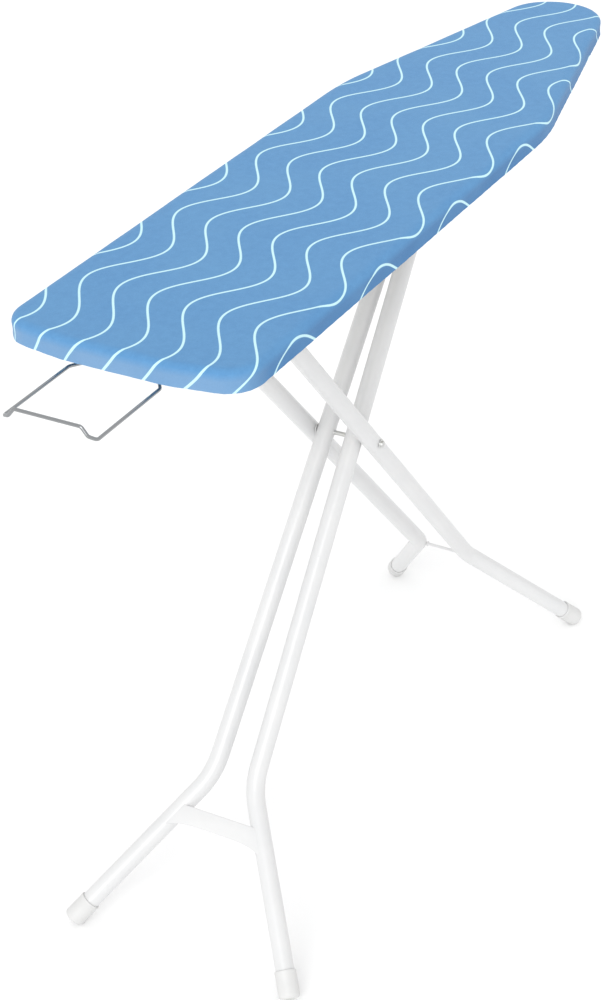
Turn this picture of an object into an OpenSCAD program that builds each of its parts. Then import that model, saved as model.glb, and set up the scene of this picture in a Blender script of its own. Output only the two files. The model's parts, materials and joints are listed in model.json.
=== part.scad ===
// Ironing board: a padded steel deck on two crossed tube frames that fold flat beneath it.
// X runs from the square end to the nose, Y to the left and Z up; the floor is at Z = 0.
// Positions along the board are measured from the square end and moved to the middle at the end.

/* [Deck] */
// Length from the square end to the tip of the nose
deck_length = 1250; // [1220:10:1280]
// Full width over the cover
deck_width = 304; // [300:2:312]
// Height of the ironing surface above the floor
deck_height = 900; // [895:1:905]
// Radius of the nose
nose_r = 71; // [66:1:76]
// Radius of the two corners at the square end
corner_r = 42; // [36:1:46]
// Radius of the shoulder where the side turns toward the nose
shoulder_r = 400; // [300:10:450]
// Distance from the square end to the start of the shoulder
shoulder_x = 765; // [740:5:780]
// Height of the covered edge
edge_h = 27; // [26:0.5:30]
// Rounding of the cover's top edge
edge_round = 9; // [7:0.5:10]

/* [Legs] */
// Radius of the steel tube
tube_r = 12; // [11.5:0.1:12.2]
// Wall of the steel tube
tube_wall = 1; // [0.9:0.1:1.5]
// Distance of the crossing pivot from the square end
pivot_x = 514.4; // [505:1:525]
// Height of the crossing pivot
pivot_z = 543.8; // [535:1:550]
// Lean of the inner leg from upright
inner_lean = 39.98; // [39:0.1:41]
// Lean of the outer leg from upright
outer_lean = 42.7; // [42:0.1:44]
// Height of the inner leg's bends
inner_bend_z = 187; // [180:1:195]
// Height of the outer leg's bends
outer_bend_z = 185; // [178:1:192]
// Angle between each inner foot and its leg
inner_splay = 29.3; // [28:0.1:30]
// Angle between each outer foot and its leg
outer_splay = 26; // [25:0.1:27]
// Radius of the foot caps
cap_r = 13.8; // [13.6:0.1:15]
// Length of the straight part of a foot cap
cap_len = 30; // [25:1:40]

/* [Mechanism] */
// Depth of the hinge axle and the slide rod below the ironing surface
hinge_drop = 65; // [63:0.5:67]
// Radius of the hinge axle and the pivot rod
pin_r = 3; // [2.8:0.1:4.5]
// Radius of the slide rod
rod_r = 5; // [4:0.1:5.5]
// Width of the slot that guides the slide rod
slot_w = 14.6; // [14.4:0.1:16]
// Depth of the height notches above the slot
notch_depth = 7; // [5:0.5:8]
// Distance between the height notches
notch_pitch = 44; // [36:1:50]

/* [Iron rest] */
// Radius of the rest's wire
wire_r = 2; // [1.8:0.1:2.6]
// Reach of the rest past the square end
rest_reach = 125; // [115:1:130]
// Half of the spacing of the rest's arms
rest_half = 56.2; // [54:0.2:58]
// Depth of the arms below the ironing surface
rest_drop = 32; // [31.5:0.1:32.5]
// Rise of the raised lip above the arms
lip_rise = 13; // [10:0.5:14]

/* [Hidden] */

$fn = 48;
tiny = 0.01;

// Colours
cover_blue = [0.41, 0.63, 0.82];
foam_white = [0.93, 0.92, 0.88];
paint_white = [0.95, 0.95, 0.94];
plastic_white = [0.9, 0.9, 0.89];
plastic_grey = [0.35, 0.36, 0.38];
zinc = [0.72, 0.73, 0.74];
chrome = [0.8, 0.81, 0.83];

// Running clearance of every pin in its bore, and the gap kept between pieces that move
run_gap = 0.05;
side_gap = 0.4;

// The origin is under the middle of the whole length, rest included
middle_x = (deck_length - rest_reach) / 2;

// Deck layers, from the top down
cover_t = 1.8;
cover_bottom = deck_height - edge_h;
hem_t = 1.2;
hem_w = 18;
hem_gap = 1.3;
pad_t = 6;
pad_inset = 5;
pad_top = deck_height - cover_t - 0.2;
panel_t = 0.6;
panel_inset = 3.2;
panel_top = pad_top - pad_t;
sheet_t = 1;
rim_bottom = cover_bottom + hem_t + hem_gap;
rim_top = panel_top - panel_t;
rib_bottom = rim_bottom + sheet_t;
rib_w = 26;
rib_x = [38, 119, 258, 520, 765, 905, 1045];
under_z = rib_bottom;

// Deck outline: arcs joined by straight stretches
half_w = deck_width / 2;
end_r = 120;
end_c = [end_r, 55];
corner_c = [corner_r + 8, half_w - corner_r];
shoulder_c = [shoulder_x, half_w - shoulder_r];
nose_c = [deck_length - nose_r, 0];

// Hinge, pivot and slide rod; the two cranks are equal, so the rod keeps its height as the legs fold
hinge_z = deck_height - hinge_drop;
crank_rise = hinge_z - pivot_z;
crank_span = crank_rise * (tan(inner_lean) + tan(outer_lean)) / 2;
crank = norm([crank_span, crank_rise]);
hinge_x = pivot_x - crank_span;
rod_x = pivot_x + crank_span;
fold_angle = 45.6;
rod_end_x = hinge_x + 2 * crank * sin(atan(crank_span / crank_rise) + fold_angle);

// Leg frames, seen in each leg's own plane: half spacing of the tubes at the pivot and at the bends
inner_pivot_half = 20.2;
inner_bend_half = 29;
outer_pivot_half = 46.2;
outer_bend_half = 38.1;
inner_bend_r = 110;
outer_bend_r = 62;
// The straight tubes reach a little into each bend, which is drawn a hair thinner
bend_lap = 1;
bend_step = 0.12;
cap_edge = 5;
cap_wall = tube_r + run_gap;
inner_bend_w = (pivot_z - inner_bend_z) / cos(inner_lean);
outer_bend_w = (pivot_z - outer_bend_z) / cos(outer_lean);
inner_tilt = atan((inner_bend_half - inner_pivot_half) / inner_bend_w);
outer_tilt = atan((outer_bend_half - outer_pivot_half) / outer_bend_w);
outer_top_half = outer_pivot_half - crank * tan(outer_tilt);
inner_foot_len = foot_length(inner_bend_z, inner_lean, inner_splay);
outer_foot_len = foot_length(outer_bend_z, outer_lean, outer_splay);

// Plate across the inner legs
plate_drop = 48;
plate_h = 26;
plate_t = 3;

// Flattened tube tops
tongue_t = 4;
tongue_r = 15;
flat_start = crank - 48;
flat_end = crank - 26;

// Slide rails and their slot
rail_in = 58;
rail_t = 2;
rail_bottom = hinge_z - 14;
slot_x0 = rod_x - 11;
slot_x1 = rod_end_x + 9;
rail_x0 = rod_x - 34;
rail_x1 = slot_x1 + 22;
notch_n = 6;
rod_half = 66;
bush_r = slot_w / 2 - 0.4;
bush_flange_r = bush_r + 3;

// Release lever outside the left rail
lever_pin_x = rod_x - 19;
lever_pin_z = deck_height - 43;
lever_y = rail_in + rail_t + 2.2;
lever_t = 2.5;
lever_arm = 52;
lever_back = 50;
handle_y = 128;
grip_from_y = 92;
spring_wire_r = 0.8;

// Iron rest
arm_z = deck_height - rest_drop;
lip_half = 40.3;
inner_half = 44;
rest_inner_x = 130;
rest_bend_x = [2, 17];

// Point on a circle, and a run of points along an arc
function on_circle(c, r, a) = c + r * [cos(a), sin(a)];
function arc(c, r, a0, a1, n) = [for (i = [0 : n]) on_circle(c, r, a0 + (a1 - a0) * i / n)];

// Direction of the outward normal of the line that touches two circles on their left side
function touch(c0, r0, c1, r1) =
    let (d = c1 - c0)
    atan2(d[1], d[0]) + acos((r0 - r1) / norm(d));

// Distance from a bend to the ring where its foot cap begins to round off
function foot_length(bend_z, lean, splay) =
    let (drop = cos(splay) * cos(lean))
    (bend_z - cap_edge - (cap_r - cap_edge) * sqrt(1 - drop * drop)) / drop;

// Left half of the deck's outline, square end first, moved in by d
function half_outline(d) =
    let (
        a0 = touch(end_c, end_r, corner_c, corner_r),
        a1 = touch(shoulder_c, shoulder_r, nose_c, nose_r)
    )
    concat(
        arc(end_c, end_r - d, 180, a0, 2),
        arc(corner_c, corner_r - d, a0, 90, 8),
        arc(shoulder_c, shoulder_r - d, 90, a1, 4),
        arc(nose_c, nose_r - d, a1, 0, 10)
    );

// Whole outline, and the board's half width at a distance from the square end
function outline(d) =
    let (left = half_outline(d), n = len(left))
    concat(left, [for (i = [n - 2 : -1 : 0]) [left[i][0], -left[i][1]]]);

// Side of the board: 1 on the left, -1 on the right
left = 1;
right = -1;

// Moves everything from the square end to the row's own origin
module from_end() {
    translate([-middle_x, 0, 0])
        children();
}

// Flat layer with the board's outline
module layer(inset, z0, z1) {
    translate([0, 0, z0])
        linear_extrude(z1 - z0)
            polygon(outline(inset));
}

// Layer whose top edge is rounded over
module cushion(inset, z0, z1, edge) {
    hull() {
        layer(inset, z0, z1 - edge);
        layer(inset + 0.3 * edge, z1 - 0.31 * edge, z1 - 0.3 * edge);
        layer(inset + edge, z1 - tiny, z1);
    }
}

// Box given by its two corners
module block(a, b) {
    translate(a)
        cube(b - a);
}

// Cylinder along Y between two sides
module across(x, z, y0, y1, r) {
    translate([x, y0, z])
        rotate([-90, 0, 0])
            cylinder(h = y1 - y0, r = r);
}

// The same on the chosen side, from y0 outward to y1
module across_side(side, x, z, y0, y1, r) {
    across(x, z, side > 0 ? y0 : -y1, side > 0 ? y1 : -y0, r);
}

// Plate standing on edge, drawn in X and Z, from y0 outward to y1 on the chosen side
module upright_plate(side, y0, y1) {
    translate([0, side > 0 ? y1 : -y0, 0])
        rotate([90, 0, 0])
            linear_extrude(y1 - y0)
                children();
}

// Rod between two points of a plane
module rod_2d(a, b, r) {
    translate([a[0], a[1], 0])
        rotate([0, 0, atan2(b[1] - a[1], b[0] - a[0])])
            rotate([0, 90, 0])
                cylinder(h = norm(b - a), r = r);
}

// Bent rod in the leg's plane: X is sideways and Y runs up the leg from the pivot
module bent_rod(pivot_half, tilt, splay, bend_w, top, foot_len, bend_r, r) {
    up = [-sin(tilt), cos(tilt)];
    down = [sin(splay), -cos(splay)];
    bend = [pivot_half + bend_w * tan(tilt), -bend_w];
    tangent = bend_r * tan((splay - tilt) / 2);
    start = bend + tangent * up;
    centre = start + bend_r * [cos(tilt), sin(tilt)];
    rod_2d(start - bend_lap * up, [pivot_half - top * tan(tilt), top], r);
    rod_2d(bend + (tangent - bend_lap) * down, bend + foot_len * down, r);
    translate([centre[0], centre[1], 0])
        rotate([0, 0, 180 + tilt])
            rotate_extrude(angle = splay - tilt)
                translate([bend_r, 0])
                    circle(r = r - bend_step);
}

// Turns the leg's drawing plane upright: sideways becomes Y, up the leg becomes Z
module stand_up() {
    rotate([90, 0, 90])
        children();
}

// Puts a leg that is drawn around its pivot in place with its lean
module lean_leg(lean) {
    translate([pivot_x, 0, pivot_z])
        rotate([0, lean, 0])
            children();
}

// Place of the top hole in the leg's own frame, across the leg and along it
function top_hole(lean, span) = [
    span * cos(lean) - crank_rise * sin(lean),
    span * sin(lean) + crank_rise * cos(lean)
];

// Bent tube of one leg, open inside, with a flattened top
module leg_tube(side, lean, span, pivot_half, tilt, splay, bend_w, foot_len, bend_r, hole_r) {
    hole = top_hole(lean, span);
    blade_in = pivot_half - hole[1] * tan(tilt) - tongue_t / 2;
    blade_x = [-tube_r, hole[0] + tongue_r];
    lean_leg(lean)
        mirror([0, side > 0 ? 0 : 1, 0]) {
            difference() {
                stand_up()
                    bent_rod(pivot_half, tilt, splay, bend_w, flat_start,
                        foot_len - 4, bend_r, tube_r);
                stand_up()
                    bent_rod(pivot_half, tilt, splay, bend_w, flat_start - 3,
                        foot_len, bend_r, tube_r - tube_wall);
                across(0, 0, pivot_half - 2 * tube_r, pivot_half + 2 * tube_r, pin_r + run_gap);
            }
            hull() {
                translate([0, pivot_half - flat_start * tan(tilt), flat_start - 1])
                    cylinder(h = 0.5, r = tube_r - 0.2, $fn = 32);
                translate([blade_x[0], blade_in, flat_end])
                    cube([blade_x[1] - blade_x[0], tongue_t, 0.5]);
            }
            difference() {
                upright_plate(left, blade_in, blade_in + tongue_t) {
                    polygon([
                        [blade_x[0], flat_end], [blade_x[1], flat_end],
                        [blade_x[1], hole[1]], [hole[0] - tongue_r, hole[1]],
                        [blade_x[0], hole[1] - 12]
                    ]);
                    translate(hole)
                        circle(r = tongue_r);
                }
                across(hole[0], hole[1], blade_in - 1, blade_in + tongue_t + 1, hole_r);
            }
        }
}

// Plastic cap pushed over the end of a foot
module foot_cap(side, lean, pivot_half, tilt, splay, bend_w, foot_len) {
    bend = [pivot_half + bend_w * tan(tilt), -bend_w];
    ring = bend + foot_len * [sin(splay), -cos(splay)];
    lean_leg(lean)
        mirror([0, side > 0 ? 0 : 1, 0])
            stand_up()
                translate([ring[0], ring[1], 0])
                    rotate([0, 0, splay])
                        rotate([90, 0, 0])
                            difference() {
                                rounded_plug(cap_r, cap_len, cap_edge);
                                translate([0, 0, -cap_len - 1])
                                    cylinder(h = cap_len - 2, r = cap_wall);
                            }
}

// Cylinder below Z = 0 whose top edge is rounded above it
module rounded_plug(r, h, edge) {
    translate([0, 0, -h])
        cylinder(h = h, r = r);
    cylinder(h = edge, r = r - edge);
    rotate_extrude()
        translate([r - edge, 0])
            intersection() {
                circle(r = edge);
                translate([0, -tiny])
                    square(edge + 1);
            }
}

// Sewn cover: top, skirt and the hem that turns under the rim
module cover() color(cover_blue) from_end() {
    difference() {
        cushion(0, cover_bottom, deck_height, edge_round);
        cushion(cover_t, cover_bottom + hem_t, deck_height - cover_t, edge_round - 1);
        layer(hem_w, cover_bottom - 1, cover_bottom + hem_t + 1);
    }
}

// Elastic band sewn along the edge of the hem
module hem_elastic() color(foam_white) from_end() {
    difference() {
        layer(hem_w + 0.3, cover_bottom, cover_bottom + hem_t);
        layer(hem_w + 6, cover_bottom - 1, cover_bottom + hem_t + 1);
    }
}

// Foam and felt pad between the cover and the steel
module pad() color(foam_white) from_end() {
    cushion(pad_inset, panel_top, pad_top, pad_inset);
}

// Steel top sheet
module deck_panel() color(paint_white) from_end() {
    layer(panel_inset, rim_top, panel_top);
}

// Folded steel edge around the deck: a wall with a lip turned inward
module deck_rim() color(paint_white) from_end() {
    difference() {
        layer(panel_inset, rim_bottom, rim_top);
        layer(panel_inset + sheet_t, rib_bottom, rim_top + 1);
        layer(panel_inset + 12, rim_bottom - 1, rib_bottom + 1);
    }
}

// Channel-shaped ribs that stiffen the top and carry the brackets
module cross_ribs() color(paint_white) from_end() {
    intersection() {
        layer(panel_inset + sheet_t, rib_bottom, rim_top);
        for (x = rib_x) {
            difference() {
                block([x - rib_w / 2, -half_w, rib_bottom], [x + rib_w / 2, half_w, rim_top]);
                block([x - rib_w / 2 + sheet_t, -half_w - 1, rib_bottom + sheet_t],
                    [x + rib_w / 2 - sheet_t, half_w + 1, rim_top + 1]);
            }
        }
    }
}

// Clevis that holds the outer leg's top on its axle
module hinge_bracket(side) {
    inner = outer_top_half - tongue_t / 2 - side_gap;
    outer = outer_top_half + tongue_t / 2 + side_gap;
    for (y = [inner - sheet_t, outer]) {
        difference() {
            upright_plate(side, y, y + sheet_t) {
                translate([hinge_x, hinge_z])
                    circle(r = 13);
                translate([hinge_x - 13, hinge_z])
                    square([26, under_z - hinge_z]);
            }
            across(hinge_x, hinge_z, -2 * half_w, 2 * half_w, pin_r + run_gap);
        }
    }
    upright_plate(side, inner - sheet_t, outer + sheet_t)
        translate([hinge_x - 13, under_z - sheet_t])
            square([26, sheet_t]);
}

module hinge_bracket_left() color(zinc) from_end() hinge_bracket(left);
module hinge_bracket_right() color(zinc) from_end() hinge_bracket(right);

// Axle of the outer leg, through both brackets
module hinge_axle() color(zinc) from_end() {
    across(hinge_x, hinge_z, -outer_top_half - 7.2, outer_top_half + 7.2, pin_r);
}

// Push-on caps at the ends of the hinge axle
module hinge_axle_caps() color(zinc) from_end() {
    for (side = [left, right]) {
        push_cap(side, hinge_x, hinge_z, outer_top_half + tongue_t / 2 + side_gap + sheet_t + 0.3);
    }
}

// Domed push-on cap with its flat side at y
module push_cap(side, x, z, y) {
    dome_h = 4.5;
    translate([x, side * y, z])
        rotate([-90 * side, 0, 0])
            difference() {
                union() {
                    cylinder(h = 1.2, r = pin_r + 3.4);
                    cylinder(h = dome_h - 1.5, r = pin_r + 1.5);
                    translate([0, 0, dome_h - 1.5])
                        cylinder(h = 1.5, r1 = pin_r + 1.5, r2 = pin_r + 0.3);
                }
                translate([0, 0, -1])
                    cylinder(h = dome_h, r = pin_r + run_gap);
            }
}

// Rail with the slot and the height notches that guide the slide rod
module slide_rail(side) {
    upright_plate(side, rail_in, rail_in + rail_t) {
        difference() {
            union() {
                translate([rail_x0, hinge_z - 4])
                    square([rail_x1 - rail_x0, under_z - hinge_z + 4]);
                translate([rail_x0 + 16, rail_bottom])
                    square([rail_x1 - rail_x0 - 32, 14]);
            }
            translate([slot_x0, hinge_z - slot_w / 2])
                square([slot_x1 - slot_x0, slot_w]);
            for (i = [0 : notch_n - 1]) {
                translate([rod_x + i * notch_pitch - slot_w / 2, hinge_z])
                    square([slot_w, notch_depth]);
                translate([rod_x + i * notch_pitch, hinge_z + notch_depth])
                    circle(r = slot_w / 2);
            }
        }
    }
    upright_plate(side, rail_in + rail_t, rail_in + 18)
        translate([rail_x0, under_z - rail_t])
            square([rail_x1 - rail_x0, rail_t]);
}

module slide_rail_left() color(zinc) from_end() slide_rail(left);
module slide_rail_right() color(zinc) from_end() slide_rail(right);

// Rivet whose head hangs below z
module rivet(x, y, z) {
    translate([x, y, z - 1.6])
        cylinder(h = 1.6, r1 = 2.6, r2 = 4);
}

// Rivets that hold the rails to the ribs
module rail_rivets() color(zinc) from_end() {
    for (x = [for (rib = rib_x) if (rib > rail_x0 && rib < rail_x1) rib], side = [left, right]) {
        rivet(x, side * (rail_in + 11), under_z - rail_t);
    }
}

// Strap under the square end that carries the iron rest
module rest_hanger() color(zinc) from_end() {
    x = rib_x[0];
    top = arm_z - wire_r - 0.3;
    side_y = rest_half + wire_r + 2;
    block([x - 7, -side_y - rail_t, top - rail_t], [x + 7, side_y + rail_t, top]);
    for (side = [left, right]) {
        upright_plate(side, side_y, side_y + rail_t)
            translate([x - 7, top - rail_t])
                square([14, under_z - top + rail_t]);
        upright_plate(side, side_y, side_y + 14)
            translate([x - 7, under_z - rail_t])
                square([14, rail_t]);
    }
}

// Clip that one inner end of the rest slides through
module rest_clip(side) {
    x = rib_x[1];
    difference() {
        union() {
            across_block(side, x, inner_half, 6.5, arm_z - 5.5, under_z);
            across_block(side, x, inner_half, 15, under_z - rail_t, under_z);
        }
        translate([x - 8, side * inner_half, arm_z])
            rotate([0, 90, 0])
                cylinder(h = 16, r = wire_r + 0.3);
    }
}

// Block 10 long, centred on a line along the board
module across_block(side, x, y, half, z0, z1) {
    block([x - 5, side * y - half, z0], [x + 5, side * y + half, z1]);
}

module rest_clip_left() color(plastic_grey) from_end() rest_clip(left);
module rest_clip_right() color(plastic_grey) from_end() rest_clip(right);

// Rivets of the rest's hanger and clips
module rest_rivets() color(zinc) from_end() {
    for (side = [left, right]) {
        rivet(rib_x[0], side * (rest_half + wire_r + 11), under_z - rail_t);
        rivet(rib_x[1], side * (inner_half + 10.8), under_z - rail_t);
        rivet(rib_x[1], side * (inner_half - 10.8), under_z - rail_t);
    }
}

// Route of the rest's wire on one side, from its hooked inner end to the middle of the lip
function rest_side() = [
    [rest_inner_x - 2, inner_half + 9, 0],
    [rest_inner_x - 2, inner_half + 3, 0],
    [rest_inner_x - 5, inner_half, 0],
    [rest_bend_x[1] + 4, inner_half, 0],
    [rest_bend_x[1], inner_half + 1, 0],
    [rest_bend_x[0] + 1, rest_half - 1.4, 0],
    [rest_bend_x[0] - 4, rest_half, 0],
    [-rest_reach + 12, rest_half, 0],
    [-rest_reach + 7.6, rest_half - 0.9, 0.6],
    [-rest_reach + 4.6, rest_half - 3.6, 2.2],
    [-rest_reach + wire_r, lip_half + 3, lip_rise - 2.4],
    [-rest_reach + wire_r, lip_half, lip_rise - 0.7],
    [-rest_reach + wire_r, lip_half - 4, lip_rise]
];

function rest_route() =
    let (half = rest_side(), n = len(half))
    concat(half, [for (i = [n - 1 : -1 : 0]) [half[i][0], -half[i][1], half[i][2]]]);

function unit(v) = v / norm(v);

// Tube swept along a route; each ring stands square to the route's own direction
module swept(route, r, sides) {
    n = len(route);
    ahead = [for (i = [0 : n - 1]) unit(route[min(i + 1, n - 1)] - route[max(i - 1, 0)])];
    across_dir = [for (d = ahead) unit(cross(d, [0.02, 0.03, 1]))];
    points = [
        for (i = [0 : n - 1], j = [0 : sides - 1])
            let (a = 360 * j / sides)
            route[i] + r * (cos(a) * across_dir[i] + sin(a) * cross(ahead[i], across_dir[i]))
    ];
    walls = [
        for (i = [0 : n - 2], j = [0 : sides - 1])
            let (k = (j + 1) % sides)
            [i * sides + k, i * sides + j, (i + 1) * sides + j, (i + 1) * sides + k]
    ];
    ends = [
        [for (j = [0 : sides - 1]) j],
        [for (j = [sides - 1 : -1 : 0]) (n - 1) * sides + j]
    ];
    polyhedron(points, concat(walls, ends));
}

// Wire loop that the iron stands on; it slides in under the deck
module iron_rest_wire() color(chrome) from_end() {
    translate([0, 0, arm_z])
        swept(rest_route(), wire_r, 12);
}

// Pin of the release lever, riveted to the left rail
module lever_pin() color(zinc) from_end() {
    across(lever_pin_x, lever_pin_z, rail_in + rail_t, lever_y + 12, pin_r);
    across(lever_pin_x, lever_pin_z, lever_y + 12, lever_y + 13.5, pin_r + 3);
}

// Coil that turns the lever back
module lever_spring() color(zinc) from_end() {
    for (i = [0 : 3]) {
        translate([lever_pin_x, lever_y + lever_t + 1.6 + 1.9 * i * spring_wire_r, lever_pin_z])
            rotate([90, 0, 0])
                rotate_extrude()
                    translate([pin_r + 1.6, 0])
                        circle(r = spring_wire_r);
    }
}

// Lever that presses the rod out of its notch: a strip on the pin with a handle bent outward
module release_lever() color(zinc) from_end() {
    difference() {
        upright_plate(left, lever_y, lever_y + lever_t) {
            translate([lever_pin_x, lever_pin_z])
                circle(r = 9);
            translate([lever_pin_x, lever_pin_z - 5])
                square([lever_arm - 6, 10]);
            translate([lever_pin_x + lever_arm - 6, lever_pin_z])
                circle(r = 6);
            translate([lever_pin_x - lever_back, lever_pin_z - 5])
                square([lever_back, 10]);
        }
        across(lever_pin_x, lever_pin_z, lever_y - 1, lever_y + lever_t + 1, pin_r + run_gap);
    }
    block([lever_pin_x - lever_back - 12, lever_y, lever_pin_z - lever_t / 2],
        [lever_pin_x - lever_back + 4, handle_y - 6, lever_pin_z + lever_t / 2]);
}

// Plastic grip pushed over the lever's handle
module lever_grip() color(plastic_grey) from_end() {
    x = lever_pin_x - lever_back - 4;
    difference() {
        hull() {
            for (dx = [-9, 9], y = [grip_from_y + 4, handle_y - 4]) {
                translate([x + dx, y, lever_pin_z - 4.5])
                    cylinder(h = 9, r = 4, $fn = 24);
            }
        }
        block([x - 8 - run_gap, grip_from_y - 1, lever_pin_z - lever_t / 2 - run_gap],
            [x + 8 + run_gap, handle_y - 6 + run_gap, lever_pin_z + lever_t / 2 + run_gap]);
    }
}

module outer_leg_tube(side) {
    leg_tube(side, -outer_lean, -crank_span, outer_pivot_half, outer_tilt, outer_splay,
        outer_bend_w, outer_foot_len, outer_bend_r, pin_r + run_gap);
}

module inner_leg_tube(side) {
    leg_tube(side, inner_lean, crank_span, inner_pivot_half, inner_tilt, inner_splay,
        inner_bend_w, inner_foot_len, inner_bend_r, rod_r + run_gap);
}

module outer_leg_tube_left() color(paint_white) from_end() outer_leg_tube(left);
module outer_leg_tube_right() color(paint_white) from_end() outer_leg_tube(right);
module inner_leg_tube_left() color(paint_white) from_end() inner_leg_tube(left);
module inner_leg_tube_right() color(paint_white) from_end() inner_leg_tube(right);

// Thin rod welded between the outer legs at their bends
module brace_rod() color(paint_white) from_end() {
    w = outer_bend_w + 6;
    reach = outer_bend_half - tube_r + 0.4;
    lean_leg(-outer_lean)
        across(0, -w, -reach, reach, 2.2);
}

// Rod on which the two leg frames cross
module pivot_rod() color(zinc) from_end() {
    end = outer_pivot_half + tube_r + 3.4;
    across(pivot_x, pivot_z, -end, end, pin_r);
}

module pivot_caps() color(zinc) from_end() {
    for (side = [left, right]) {
        push_cap(side, pivot_x, pivot_z, outer_pivot_half + tube_r + 0.3);
    }
}

// Bushes that keep the inner and outer tubes apart on the pivot rod
module pivot_spacers() color(plastic_white) from_end() {
    y0 = inner_pivot_half + tube_r + side_gap;
    y1 = outer_pivot_half - tube_r - side_gap;
    for (side = [left, right]) {
        difference() {
            across_side(side, pivot_x, pivot_z, y0, y1, 2 * pin_r);
            across(pivot_x, pivot_z, -2 * y1, 2 * y1, pin_r + run_gap);
        }
    }
}

module outer_foot_cap(side) {
    foot_cap(side, -outer_lean, outer_pivot_half, outer_tilt, outer_splay,
        outer_bend_w, outer_foot_len);
}

module inner_foot_cap(side) {
    foot_cap(side, inner_lean, inner_pivot_half, inner_tilt, inner_splay,
        inner_bend_w, inner_foot_len);
}

module outer_foot_cap_left() color(plastic_white) from_end() outer_foot_cap(left);
module outer_foot_cap_right() color(plastic_white) from_end() outer_foot_cap(right);
module inner_foot_cap_left() color(plastic_white) from_end() inner_foot_cap(left);
module inner_foot_cap_right() color(plastic_white) from_end() inner_foot_cap(right);

// Pressed plate welded between the inner legs below their bends
module crossbar_plate() color(paint_white) from_end() {
    flare = tan(inner_splay);
    half = inner_bend_half + plate_drop * flare;
    ear = plate_h + 8;
    lean_leg(inner_lean)
        difference() {
            translate([-tube_r + 1, 0, -inner_bend_w - plate_drop])
                rotate([0, 90, 0])
                    linear_extrude(plate_t)
                        polygon([
                            [0, -half], [0, half],
                            [ear, half + ear * flare], [plate_h + 1, half + plate_h * flare - 11],
                            [plate_h - 3, 0],
                            [plate_h + 1, -half - plate_h * flare + 11], [ear, -half - ear * flare]
                        ]);
            for (side = [left, right]) {
                mirror([0, side > 0 ? 0 : 1, 0])
                    stand_up()
                        bent_rod(inner_pivot_half, inner_tilt, inner_splay, inner_bend_w,
                            0, inner_foot_len / 2, inner_bend_r, tube_r + 0.01);
            }
        }
}

// Rod that joins the inner leg's tops and runs in both rails
module slide_rod() color(zinc) from_end() {
    across(rod_x, hinge_z, -rod_half, rod_half, rod_r);
}

// Nylon bush on the rod's end, running in the rail's slot
module slide_bush(side) {
    difference() {
        union() {
            across_side(side, rod_x, hinge_z, rail_in - 2.6, rail_in + rail_t + 0.9, bush_r);
            across_side(side, rod_x, hinge_z, rail_in - 2.6, rail_in - side_gap, bush_flange_r);
        }
        across(rod_x, hinge_z, -2 * rod_half, 2 * rod_half, rod_r + run_gap);
    }
}

module slide_bush_left() color(plastic_grey) from_end() slide_bush(left);
module slide_bush_right() color(plastic_grey) from_end() slide_bush(right);

cover();
hem_elastic();
pad();
deck_panel();
deck_rim();
cross_ribs();
hinge_bracket_left();
hinge_bracket_right();
hinge_axle();
hinge_axle_caps();
slide_rail_left();
slide_rail_right();
rail_rivets();
rest_hanger();
rest_clip_left();
rest_clip_right();
rest_rivets();
lever_pin();
lever_spring();
release_lever();
lever_grip();
iron_rest_wire();
outer_leg_tube_left();
outer_leg_tube_right();
brace_rod();
pivot_rod();
pivot_caps();
pivot_spacers();
outer_foot_cap_left();
outer_foot_cap_right();
inner_leg_tube_left();
inner_leg_tube_right();
crossbar_plate();
slide_rod();
slide_bush_left();
slide_bush_right();
inner_foot_cap_left();
inner_foot_cap_right();
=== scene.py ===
# %% [markdown]
# # A folding ironing board, dressed in Blender
# The frame of this board was designed first: legs, hinges, rails and the steel deck are already there, at
# their real size. This notebook gives that frame its looks. It adds the sewn cover, the pad, the mesh top,
# the bent tubes and the small parts, one piece at a time, and ends with the materials and the studio.
# Everything is in metres. X runs from the square end to the nose, Y to the left and Z up.

# %% Load the frame
import json
import math

import bmesh
import bpy
import numpy as np
from mathutils import Matrix, Vector, noise


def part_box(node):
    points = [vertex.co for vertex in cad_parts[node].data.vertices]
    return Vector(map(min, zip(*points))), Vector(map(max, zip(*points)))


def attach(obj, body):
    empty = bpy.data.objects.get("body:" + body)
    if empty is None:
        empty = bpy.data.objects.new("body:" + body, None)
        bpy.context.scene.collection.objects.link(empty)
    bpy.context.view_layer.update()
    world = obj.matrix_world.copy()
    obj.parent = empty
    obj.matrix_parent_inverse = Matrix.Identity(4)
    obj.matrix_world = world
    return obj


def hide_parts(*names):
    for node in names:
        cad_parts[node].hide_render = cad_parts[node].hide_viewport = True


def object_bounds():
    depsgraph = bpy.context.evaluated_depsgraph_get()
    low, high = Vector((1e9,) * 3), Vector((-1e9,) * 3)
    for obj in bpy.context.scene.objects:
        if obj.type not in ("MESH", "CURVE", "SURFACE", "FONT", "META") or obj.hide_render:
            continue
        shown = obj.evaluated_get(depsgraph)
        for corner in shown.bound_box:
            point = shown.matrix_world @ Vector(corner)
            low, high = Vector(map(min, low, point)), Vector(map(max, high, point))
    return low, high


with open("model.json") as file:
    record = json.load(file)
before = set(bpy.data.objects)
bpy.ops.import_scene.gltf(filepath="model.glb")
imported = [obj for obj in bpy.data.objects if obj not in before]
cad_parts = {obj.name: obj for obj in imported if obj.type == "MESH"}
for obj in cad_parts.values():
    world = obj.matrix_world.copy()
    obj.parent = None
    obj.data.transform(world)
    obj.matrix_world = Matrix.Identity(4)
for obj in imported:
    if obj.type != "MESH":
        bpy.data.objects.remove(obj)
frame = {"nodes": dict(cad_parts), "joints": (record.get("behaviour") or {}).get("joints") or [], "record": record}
cad_low, cad_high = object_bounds()
nodes = frame["nodes"]
joints = {joint["name"]: joint for joint in frame["joints"]}
cover_low, cover_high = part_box("cover")
print(len(nodes), "nodes; the board measures", [round(v, 3) for v in cad_high - cad_low])

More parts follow.
